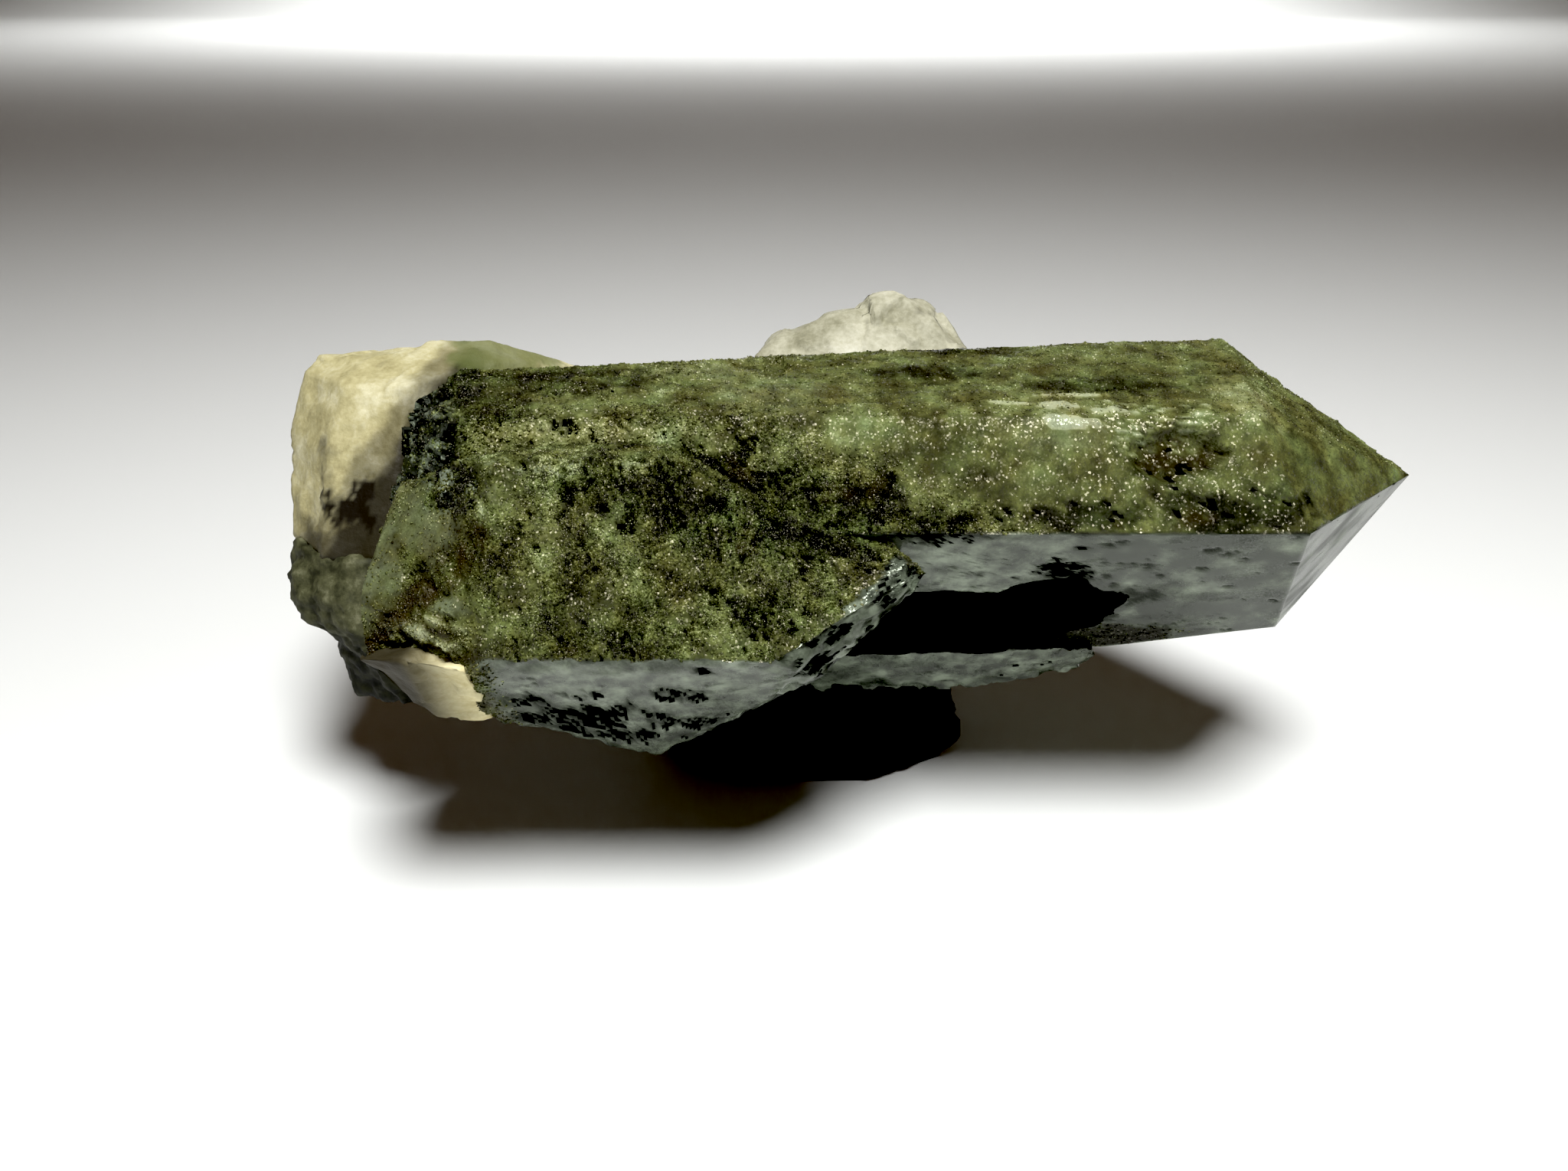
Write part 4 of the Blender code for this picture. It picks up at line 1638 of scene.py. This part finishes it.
    def ledge(self) -> bpy.types.Mesh:
        """The bare ledge under the main crystal.

        Returns:
            Its closed mesh.
        """
        skin = stretch(self.ledge_ridges, *self.ledge_ends, self.step, coarse=(2, 3))
        points = skin.points
        top = skin.face(3)
        marks = self.bare_marks(points, 53, -0.08)
        ragged = skin.near_ridge(0.9) * smooth(fractal(points, 1.3, 54, 3), -0.1, 0.3)
        height = 0.02 * fractal(points, 1.5, 51, 3) - 0.2 * smooth(marks, 0.5, 1.0) - 0.3 * ragged
        fields = {
            **even_fields(points, tone=0.2, rust=0.0),
            "moss": 0.9 * top,
            "crust": 0.6 * top,
            # Painted shade: its top, under the main crystal and in the hollow, is half black.
            "soot": unit(0.97 * marks + 0.5 * top),
            # Part of this is a painted reflection of the pale floor.
            "haze": unit(0.42 + 0.5 * fractal(points, 1.4, 55, 4, 0.6)) * (1 - top),
            "glaze": (1 - marks) * (1 - top),
        }
        return skin_mesh("ledge", skin.raised(height), fields)

    def foot(self) -> bpy.types.Mesh:
        """The foot that the cluster rests on, painted black all over as shade. Its base is flat.

        Returns:
            Its closed mesh.
        """
        skin = stretch(self.foot_ridges, *self.foot_ends, self.foot_step)
        points = skin.points
        lifted = smooth(points[..., 2], 0.1, 1.2)
        height = lifted * (0.25 * fractal(points, 2.5, 62, 4) + 0.3 * shards(points, 3.0, 61)[0])
        # Painted shade: full soot turns the whole foot to black felt.
        fields = even_fields(
            points, moss=0.0, crust=0.0, tone=0.2, rust=0.0, soot=1.0, haze=0.15, glaze=0.2
        )
        return skin_mesh("foot", skin.raised(height), fields)

    def hollow(self) -> bpy.types.Mesh:
        """The hollow under the main crystal's overhanging upper band, as the solid to cut away.

        Returns:
            Its closed mesh.
        """
        skin = stretch(self.hollow_ridges, *self.hollow_ends, self.hollow_step)
        points = skin.points
        height = 0.35 * fractal(points, 2.0, 71, 4, 0.6)
        floor = skin.face(2) * smooth(fractal(points, 1.0, 72, 4, 0.6), -0.6, 0.3)
        # Painted shade: the walls of the hollow are black, and only patches of its floor are lighter.
        fields = {
            **even_fields(points, moss=0.9, crust=0.0, rust=0.0, haze=0.0, glaze=0.0),
            "tone": 0.1 + 0.2 * floor,
            "soot": 1 - 0.7 * floor,
        }
        return skin_mesh("hollow", skin.raised(height), fields)

    def build(self) -> bpy.types.Object:
        """Joins the crystals, the ledge and the foot, and cuts the hollow.

        Returns:
            The finished piece.
        """
        changes = [
            (self.side_crystal(), Joining.UNION),
            (self.ledge(), Joining.UNION),
            (self.foot(), Joining.UNION),
            (self.hollow(), Joining.DIFFERENCE),
        ]
        mesh = combined("quartz_grown", self.main_crystal(), changes)
        mesh.shade_smooth()
        mesh.set_sharp_from_angle(angle=math.radians(self.sharp_over))
        obj = finish_piece(
            add_object("quartz_grown", mesh), ChloriteQuartz().material(), Slot.QUARTZ, "quartz_crystals"
        )
        mossy = ChloriteQuartz("mossy_quartz", dull=0.3, lean=0.85, mirror=0.26, tint="#FFF6DA")
        add_finish_where(obj, mossy.material(), "moss", self.mossy_over)
        # The blackest faces, black chlorite and painted shade alike, take the felt.
        add_finish_where(obj, ChloriteFeltAndShade().material(), "soot", self.felt_over)
        return obj


@dataclass
class FeldsparMasses:
    """The cream feldspar: a block and a lobe at the broken end, and a crystal standing behind.

    Attributes:
        step: The grid spacing in millimetres.
        block_ridges: The block's, which climb from its base.
        block_ends: The points that close the block.
        rear_ridges: The rear crystal's, which climb from its base.
        rear_ends: The points that close the rear crystal.
        lobe_ridges: The lobe's, which run from left to right.
        lobe_ends: The points that close the lobe.
        rear_ramp: The rear crystal's shades, greyer than the block's.
        lobe_ramp: The lobe's shades, yellower than the block's.
        shadow_line_from: The X at which the top edge of the block's painted shadow is shadow_line_top high.
        shadow_line_top: That height.
        shadow_line_slope: How fast that edge climbs along X.
        black_shade: The blackest part of the painted shade, low on the block's front.
        green_top: Where chlorite dusts the block's top.
    """

    step: float = 0.26
    block_ridges: tuple[Ridge, ...] = (
        ((-35.2, -0.2, 19.6), (LEFT, 3.2, 25.4), (-34.4, 4.6, 29.0), (-33.6, 5.4, 29.8)),
        ((-32.0, -4.0, 19.6), (-31.5, -1.5, 25.4), (-30.5, 1.0, 29.2), (-30.0, 4.0, 29.9)),
        ((-27.5, -4.5, 19.6), (-27.0, -2.0, 25.4), (-26.5, 0.6, 29.4), (-26.5, 7.0, 30.3)),
        ((-22.0, 0.0, 19.6), (-22.0, 2.0, 25.4), (-22.0, 6.0, 29.4), (-23.0, 8.0, 30.1)),
        ((-14.0, 14.0, 20.0), (-13.0, 14.0, 23.4), (-16.0, 12.0, 26.4), (-20.6, 9.6, 28.8)),
        ((-15.0, 16.0, 20.0), (-14.0, BACK, 23.4), (-17.0, 15.0, 25.8), (-20.6, 12.0, 27.6)),
        ((-26.0, 16.2, 20.0), (-26.0, BACK, 24.4), (-26.0, 15.5, 26.8), (-26.0, 13.0, 28.0)),
        ((-34.0, 11.0, 19.6), (-34.6, 12.0, 25.4), (-33.6, 11.5, 27.6), (-32.6, 10.6, 28.4)),
    )
    block_ends: tuple[Point, Point] = ((-26.0, 7.0, 19.3), (-27.0, 9.5, 29.3))
    rear_ridges: tuple[Ridge, ...] = (
        ((-5.0, 11.5, 13.0), (-7.0, 9.0, 23.0), (-5.2, 9.6, 28.5), (-3.6, 10.6, 29.5)),
        ((1.0, 9.0, 13.0), (0.0, 6.5, 24.0), (1.0, 7.2, 28.5), (2.0, 10.8, 31.2)),
        ((10.5, 9.5, 13.0), (11.0, 7.5, 23.0), (9.3, 8.6, 28.5), (5.2, 11.6, 32.1)),
        ((12.0, 15.0, 13.0), (12.2, 14.6, 23.0), (9.9, 13.2, 28.3), (6.4, 12.6, 31.6)),
        ((4.0, 16.2, 12.4), (4.5, BACK, 24.0), (4.5, 15.6, 28.4), (4.0, 13.4, 31.4)),
        ((-5.0, 15.8, 13.0), (-6.4, 15.6, 23.0), (-4.6, 14.6, 28.0), (-2.6, 12.4, 29.8)),
    )
    rear_ends: tuple[Point, Point] = ((3.4, 13.6, 12.0), (4.2, 12.3, HEIGHT))
    lobe_ridges: tuple[Ridge, ...] = (
        ((-26.2, -15.4, 19.1), (-23.5, -16.4, 19.6), (-20.4, -16.5, 19.1)),
        ((-25.9, -14.4, 17.6), (-23.1, -13.6, 14.2), (-20.4, -12.0, 13.0)),
        ((-25.0, -9.0, 16.4), (-22.8, -7.5, 13.4), (-20.6, -6.8, 11.8)),
        ((-25.2, -10.0, 18.4), (-23.0, -9.6, 18.6), (-20.8, -9.0, 17.8)),
    )
    lobe_ends: tuple[Point, Point] = ((-26.5, -13.5, 18.1), (-20.0, -12.0, 15.5))
    rear_ramp: Ramp = ((0.0, "#4E4D3C"), (0.35, "#84826C"), (0.65, "#A9A793"), (1.0, "#CBCABD"))
    lobe_ramp: Ramp = ((0.0, "#66592E"), (0.35, "#9E8E56"), (0.65, "#C4B67E"), (1.0, "#E6DDB0"))
    shadow_line_from: float = -28.0
    shadow_line_top: float = 27.2
    shadow_line_slope: float = 1.3
    black_shade: Patch = Patch((-29.8, -2.8, 22.4), (2.0, 3.0, 1.8), 88, 0.6)
    green_top: Patch = Patch((-21.5, 8.0, 29.5), (4.2, 6.0, 2.6), 75, 0.4)

    def stains(self, points: Array, seed: int) -> Array:
        """Iron stain and painted shade, from 0 to 1.

        Iron stain lies in scattered spots. The main crystal's shadow is painted on under a line that
        climbs along X, and shade along the block's base and in one black patch. The painted shadow and
        the shade along the base fade towards the block's left edge, its right end and its back.

        Args:
            points: Positions in millimetres, shape (..., 3).
            seed: Picks the pattern.

        Returns:
            The stain's strength, shape (...).
        """
        x, y, z = points[..., 0], points[..., 1], points[..., 2]
        line = self.shadow_line_top + self.shadow_line_slope * (x - self.shadow_line_from)
        line = line + 0.8 * fractal(points, 2.0, seed + 4, 4)
        # Painted shade: the main crystal's shadow under the line, and shade along the base.
        stained = 0.56 * smooth(line - z, -0.8, 0.6) + 0.4 * smooth(line - z, 1.4, 2.8)
        base = z + 0.4 * fractal(points, 1.2, seed + 5, 3)
        stained = np.maximum(stained, 0.85 * smooth(base, 21.6, 20.6))
        stained *= smooth(x, -35.0, -33.4) * (1 - smooth(x, -24.0, -20.0))
        spots = 0.6 * smooth(fractal(points, 3.0, seed + 3, 4), 0.6, 1.0)
        rust = np.maximum(spots, stained * (1 - smooth(y, 4.0, 9.0)))
        return np.maximum(rust, self.black_shade.on(points))

    def mass(
        self,
        name: str,
        ridges: tuple[Ridge, ...],
        ends: tuple[Point, Point],
        seed: int,
        relief: float,
        tone: float,
    ) -> bpy.types.Object:
        """Makes one broken mass.

        Args:
            name: The piece's name.
            ridges: Its ridges.
            ends: The points that close it.
            seed: Picks its roughness.
            relief: The height of its broken planes in millimetres.
            tone: Its shade, from 0 for dark to 1 for pale.

        Returns:
            The object.
        """
        skin = stretch(ridges, *ends, self.step)
        points = skin.points
        planes, label = shards(points, 2.6, seed)
        height = relief * planes + 0.12 * fractal(points, 1.5, seed + 1, 4)
        shade = tone + 0.16 * fractal(points, 4.0, seed + 2, 3) + 0.1 * (label - 0.5)
        fields = {
            "tone": shade,
            # Iron stain, with painted shadow and shade.
            "rust": self.stains(points, seed),
            "moss": 0.75 * self.green_top.on(points),
        }
        return add_object(name, skin_mesh(name, skin.raised(height), fields))

    def build(self) -> list[bpy.types.Object]:
        """Makes the three masses.

        Returns:
            The finished pieces.
        """
        cream = FeldsparFinish().material()
        grey = FeldsparFinish(ramp=self.rear_ramp).material()
        yellow = FeldsparFinish(ramp=self.lobe_ramp).material()
        block = self.mass(
            "cream_block", self.block_ridges, self.block_ends, seed=81, relief=0.07, tone=0.68
        )
        rear = self.mass(
            "rear_crystal", self.rear_ridges, self.rear_ends, seed=91, relief=0.2, tone=0.55
        )
        lobe = self.mass(
            "front_lobe", self.lobe_ridges, self.lobe_ends, seed=101, relief=0.12, tone=0.95
        )
        return [
            finish_piece(block, cream, Slot.FELDSPAR, "feldspar_block"),
            finish_piece(rear, grey, Slot.FELDSPAR, "feldspar_rear"),
            finish_piece(lobe, yellow, Slot.FELDSPAR, "feldspar_lobe"),
        ]


@dataclass
class SchistLump:
    """The lump of chlorite schist under the cream block.

    Attributes:
        step: The grid spacing in millimetres.
        ridges: Its ridges, which climb from its lower end, painted dark as shade.
        ends: The points that close it.
    """

    step: float = 0.26
    ridges: tuple[Ridge, ...] = (
        ((-32.6, -1.5, 9.6), (-33.2, -0.6, 13.9), (-35.2, -1.0, 15.3),
         (LEFT, -1.0, 17.2), (-34.8, -0.4, 19.6)),
        ((-31.4, -3.8, 9.6), (-32.0, -3.8, 13.9), (-34.2, -3.4, 15.2),
         (-34.6, -3.2, 17.2), (-33.4, -3.0, 19.7)),
        ((-28.0, -5.0, 9.8), (-29.0, -6.0, 13.0), (-30.0, -6.2, 15.2),
         (-30.4, -6.0, 17.0), (-30.0, -4.6, 19.8)),
        ((-23.0, -3.0, 9.8), (-22.0, -4.0, 13.0), (-22.0, -5.0, 15.0),
         (-22.0, -5.0, 17.0), (-23.0, -4.2, 19.8)),
        ((-22.0, 5.0, 9.8), (-21.0, 8.0, 13.0), (-21.0, 11.0, 15.0),
         (-21.0, 12.0, 17.0), (-21.0, 12.0, 18.2)),
        ((-28.0, 7.0, 10.0), (-28.0, 11.0, 13.0), (-29.0, 13.0, 15.0),
         (-29.0, 14.6, 17.0), (-29.0, 14.0, 18.2)),
        ((-32.0, 3.0, 10.0), (-33.0, 5.0, 13.4), (-34.6, 5.0, 15.4),
         (-34.8, 5.0, 17.0), (-34.6, 6.0, 19.6)),
    )
    ends: tuple[Point, Point] = ((-28.0, 0.5, 8.6), (-28.0, 3.0, 19.6))

    def build(self) -> bpy.types.Object:
        """Makes the lump.

        Returns:
            The finished piece.
        """
        skin = stretch(self.ridges, *self.ends, self.step)
        points = skin.points
        lumps = noise(points, 2.2, 111)
        height = 0.4 * np.abs(lumps) + 0.22 * fractal(points, 0.9, 113, 4, 0.65)
        # Painted shade: raised lumps are lighter, the creases between them darker, and the lump darkens
        # towards its lower end, in the crystals' shadow.
        tone = 0.42 + 0.16 * fractal(points, 3.0, 112, 3) + 0.25 * smooth(np.abs(lumps), 0.0, 0.4)
        tone -= 0.4 * smooth(points[..., 2], 15.2, 13.0)
        mesh = skin_mesh("schist_lump", skin.raised(height), {"tone": tone})
        return finish_piece(
            add_object("schist_lump", mesh), ChloriteSchist().material(), Slot.SCHIST, "chlorite_lump"
        )


@dataclass(frozen=True)
class FlakeKind:
    """One kind of chlorite flake, and how it is strewn.

    Attributes:
        name: What the names of its meshes start with.
        finish: Its finish.
        flakes: How many flakes there are in all.
        pieces: How many joined meshes they make, each from one stretch along X.
        radius: The smallest and largest radius of a flake in millimetres. Real ones are smaller, and
            these are as coarse as they need to be to show.
        flatness: A flake's half thickness as a share of its radius.
        lean: How far flakes lean from lying flat.
        in_soot: How densely flakes lie where the surface is black, next to 1 where it is green.
        clusters: How thinly flakes lie between clusters, from 0 for none there to 1 for no clusters.
        shade: What is added to the surface's tone.
        shade_spread: How much flakes differ in shade from their neighbours.
        seed: Picks the places.
    """

    name: str
    finish: ChloriteFlake
    flakes: int
    pieces: int
    radius: tuple[float, float]
    flatness: float
    lean: float
    in_soot: float
    clusters: float
    shade: float
    shade_spread: float
    seed: int


@dataclass
class ChloriteCrust:
    """Thin chlorite flakes that stand on the crusted faces, in a few joined meshes.

    Attributes:
        kinds: The kinds of flake.
        cluster_mm: The width of one cluster of flakes.
        soot_shade: How much darker flakes are where the surface is black.
    """

    kinds: tuple[FlakeKind, ...] = (
        FlakeKind(
            name="chlorite_crust",
            finish=ChloriteFlake("weathered_flake", 0.8, 0.15),
            flakes=42000,
            pieces=4,
            radius=(0.045, 0.11),
            flatness=0.35,
            lean=0.5,
            in_soot=0.35,
            clusters=1.0,
            shade=-0.1,
            shade_spread=0.13,
            seed=7,
        ),
        FlakeKind(
            name="chlorite_glints",
            finish=ChloriteFlake("fresh_flake", 0.3, 1.0),
            flakes=30000,
            pieces=2,
            radius=(0.05, 0.12),
            flatness=0.12,
            lean=0.52,
            in_soot=3.0,
            clusters=0.2,
            shade=-0.08,
            shade_spread=0.12,
            seed=8,
        ),
    )
    cluster_mm: float = 1.8
    soot_shade: float = 0.16

    def flake(self, flatness: float) -> tuple[Array, Array]:
        """One flake of radius 1: a flattened double pyramid on a hexagon.

        Args:
            flatness: Its half thickness.

        Returns:
            Its 8 points and 12 faces.
        """
        sides = 6
        here = np.arange(sides)
        turn = here * math.pi / 3
        rim = np.stack([np.cos(turn), np.sin(turn), np.zeros(sides)], axis=-1)
        points = np.concatenate([rim, [[0, 0, flatness], [0, 0, -flatness]]])
        beside = (here + 1) % sides
        upper = np.stack([here, beside, np.full(sides, sides)], axis=-1)
        lower = np.stack([beside, here, np.full(sides, sides + 1)], axis=-1)
        return points, np.concatenate([upper, lower])

    def strew(self, kind: FlakeKind, triangles: Array, ground: Fields) -> list[bpy.types.Object]:
        """Strews one kind of flake over the crusted triangles.

        Places are random points on random triangles, chosen by area times crust. Each flake lies on
        the surface and leans at random.

        Args:
            kind: The kind.
            triangles: The host's triangles in millimetres, shape (count, 3, 3).
            ground: Each triangle's mean crust, tone, rust and soot.

        Returns:
            The finished pieces.
        """
        normals = np.cross(triangles[:, 1] - triangles[:, 0], triangles[:, 2] - triangles[:, 0])
        areas = np.linalg.norm(normals, axis=1)
        normals /= areas[:, None] + 1e-12
        gathered = smooth(fractal(triangles.mean(axis=1), self.cluster_mm, 19, 3), 0.0, 0.7)
        wanted = areas * unit(ground["crust"]) * (1 - (1 - kind.in_soot) * ground["soot"])
        wanted *= kind.clusters + (1 - kind.clusters) * gathered
        random = np.random.default_rng(kind.seed)
        picked = random.choice(len(areas), kind.flakes, p=wanted / wanted.sum())
        picked = picked[np.argsort(triangles[picked, 0, 0])]
        mix = random.dirichlet((1.0, 1.0, 1.0), kind.flakes)
        centre = np.einsum("nc,nck->nk", mix, triangles[picked])
        upward = normals[picked] + random.normal(0, kind.lean, (kind.flakes, 3))
        upward /= np.linalg.norm(upward, axis=1, keepdims=True)
        sideways = np.cross(upward, random.normal(0, 1, (kind.flakes, 3)))
        sideways /= np.linalg.norm(sideways, axis=1, keepdims=True)
        basis = np.stack([sideways, np.cross(upward, sideways), upward], axis=1)
        size = random.uniform(*kind.radius, kind.flakes)
        shape, faces = self.flake(kind.flatness)
        points = np.einsum("pk,nkj->npj", shape, basis) * size[:, None, None] + centre[:, None]
        shade = (ground["tone"] + kind.shade - self.soot_shade * ground["soot"])[picked]
        shade += random.normal(0, kind.shade_spread, kind.flakes)
        material = kind.finish.material()
        made = []
        for number, group in enumerate(np.array_split(np.arange(kind.flakes), kind.pieces), start=1):
            numbers = faces[None] + len(shape) * np.arange(len(group))[:, None, None]
            fields = {
                "tone": np.repeat(shade[group], len(shape)),
                "rust": np.repeat(ground["rust"][picked[group]], len(shape)),
                "crust": np.ones(len(group) * len(shape)),
            }
            name = f"{kind.name}_{number}"
            joined = write_mesh(name, points[group].reshape(-1, 3), [numbers.reshape(-1, 3)], fields)
            made.append(finish_piece(add_object(name, joined), material, Slot.QUARTZ))
        return made

    def build(self, host: bpy.types.Object) -> list[bpy.types.Object]:
        """Strews every kind of flake over a host.

        Args:
            host: The finished quartz.

        Returns:
            The finished pieces.
        """
        mesh = host.data
        mesh.calc_loop_triangles()
        count = len(mesh.loop_triangles)
        places = np.empty(len(mesh.vertices) * 3, np.float32)
        mesh.vertices.foreach_get("co", places)
        corners = np.empty(count * 3, np.int32)
        mesh.loop_triangles.foreach_get("loops", corners)
        vertices = np.empty(count * 3, np.int32)
        mesh.loop_triangles.foreach_get("vertices", vertices)
        corners, vertices = corners.reshape(-1, 3), vertices.reshape(-1, 3)
        triangles = (places.reshape(-1, 3) / MM)[vertices].astype(float)
        ground = {
            name: read_field(mesh, name)[corners].mean(axis=1) for name in ("crust", "tone", "rust", "soot")
        }
        return [piece for kind in self.kinds for piece in self.strew(kind, triangles, ground)]


@dataclass(frozen=True)
class Lamp:
    """A round soft lamp.

    Attributes:
        name: Its name.
        place: Where it is, in metres.
        target: The point it faces, in metres.
        size: Its width in metres.
        power: Its power in watts.
        spread: The angle of its beam in degrees.
    """

    name: str
    place: Point
    target: Point
    size: float
    power: float
    spread: float = 180.0

    def build(self) -> None:
        """Adds the lamp to the scene."""
        data = bpy.data.lights.new(self.name, "AREA")
        data.shape = "DISK"
        data.size = self.size
        data.energy = self.power
        data.spread = math.radians(self.spread)
        obj = bpy.data.objects.new(self.name, data)
        obj.location = self.place
        aim = np.array(self.place) - np.array(self.target)
        lean = math.atan2(math.hypot(aim[0], aim[1]), aim[2])
        obj.rotation_euler = (lean, 0.0, math.atan2(aim[0], -aim[1]))
        bpy.context.scene.collection.objects.link(obj)


@dataclass
class Studio:
    """The pale floor, the soft lights and the camera.

    Attributes:
        eye: The camera's place in metres.
        tilt_deg: How far the camera looks down.
        lens_mm: Its focal length.
        frame_mm: The width of its frame.
        clip: The nearest and farthest it sees, in metres.
        reach: How far the floor is level in front of and behind the cluster, in metres.
        bend: The radius of the curve by which it then becomes a wall.
        wall: The height of that wall.
        wide: Half the floor's width.
        lamps: The lamp over the cluster, and the one for the floor behind it.
        fill: The brightness of the light from all round.
        fill_colour: The colour of that light.
        black_level: The brightness that comes out as black.
    """

    eye: Point = (-0.0033, -0.0716, 0.0522)
    tilt_deg: float = 27.0
    lens_mm: float = 27.72
    frame_mm: float = 36.0
    clip: tuple[float, float] = (0.001, 20.0)
    reach: float = 1.6
    bend: float = 0.6
    wall: float = 2.0
    wide: float = 4.0
    lamps: tuple[Lamp, ...] = (
        Lamp("lamp", place=(0.02, -0.095, 0.25), target=(0.0, 0.0, 0.015), size=0.09, power=1.15),
        Lamp(
            "wall_lamp", place=(0.0, 1.3, 1.1), target=(0.0, 1.5, 0.0), size=0.8, power=14.0, spread=90.0
        ),
    )
    fill: float = 0.04
    fill_colour: str = "#FFC48C"
    black_level: float = 0.012

    def camera(self) -> None:
        """Places the camera."""
        data = bpy.data.cameras.new("camera")
        data.lens = self.lens_mm
        data.sensor_width = self.frame_mm
        data.clip_start, data.clip_end = self.clip
        obj = bpy.data.objects.new("camera", data)
        obj.location = self.eye
        obj.rotation_euler = (math.radians(90 - self.tilt_deg), 0.0, 0.0)
        bpy.context.scene.collection.objects.link(obj)
        bpy.context.scene.camera = obj

    def floor(self) -> None:
        """Makes the floor: a level line, a quarter circle and a wall, drawn out from side to side."""
        turn = np.linspace(0, math.pi / 2, 25)
        level = np.array([[-self.reach, 0.0], [self.reach, 0.0]])
        curve = np.stack(
            [self.reach + self.bend * np.sin(turn), self.bend * (1 - np.cos(turn))], axis=-1
        )[1:]
        profile = np.concatenate([level, curve, [[self.reach + self.bend, self.wall]]]) / MM
        rows = len(profile)
        left = np.column_stack([np.full(rows, -self.wide / MM), profile])
        right = np.column_stack([np.full(rows, self.wide / MM), profile])
        row = np.arange(rows - 1)
        faces = np.stack([row, row + rows, row + rows + 1, row + 1], axis=-1)
        mesh = bpy.data.meshes.new("paper_floor")
        mesh.from_pydata((np.concatenate([left, right]) * MM).tolist(), [], faces.tolist())
        mesh.shade_smooth()
        mesh.materials.append(PaperFinish().material())
        add_object("paper_floor", mesh)

    def lights(self) -> None:
        """Adds the lamps and the light from all round."""
        for lamp in self.lamps:
            lamp.build()
        world = bpy.data.worlds.new("studio")
        world.use_nodes = True
        background = world.node_tree.nodes["Background"]
        background.inputs["Color"].default_value = linear(self.fill_colour)
        background.inputs["Strength"].default_value = self.fill
        bpy.context.scene.world = world

    def build(self) -> None:
        """Sets up the camera, the floor, the lights and the way light becomes colour."""
        self.camera()
        self.floor()
        self.lights()
        view = bpy.context.scene.view_settings
        view.view_transform = "Standard"
        view.use_curve_mapping = True
        view.curve_mapping.black_level = (self.black_level,) * 3
        view.curve_mapping.update()


def main() -> None:
    """Builds the cluster and the studio round it."""
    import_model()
    Studio().build()
    quartz = QuartzCrystals().build()
    FeldsparMasses().build()
    SchistLump().build()
    ChloriteCrust().build(quartz)
    log.info("cluster finished")


if __name__ == "__main__":
    logging.basicConfig(level=logging.INFO, format="%(name)s: %(message)s")
    main()
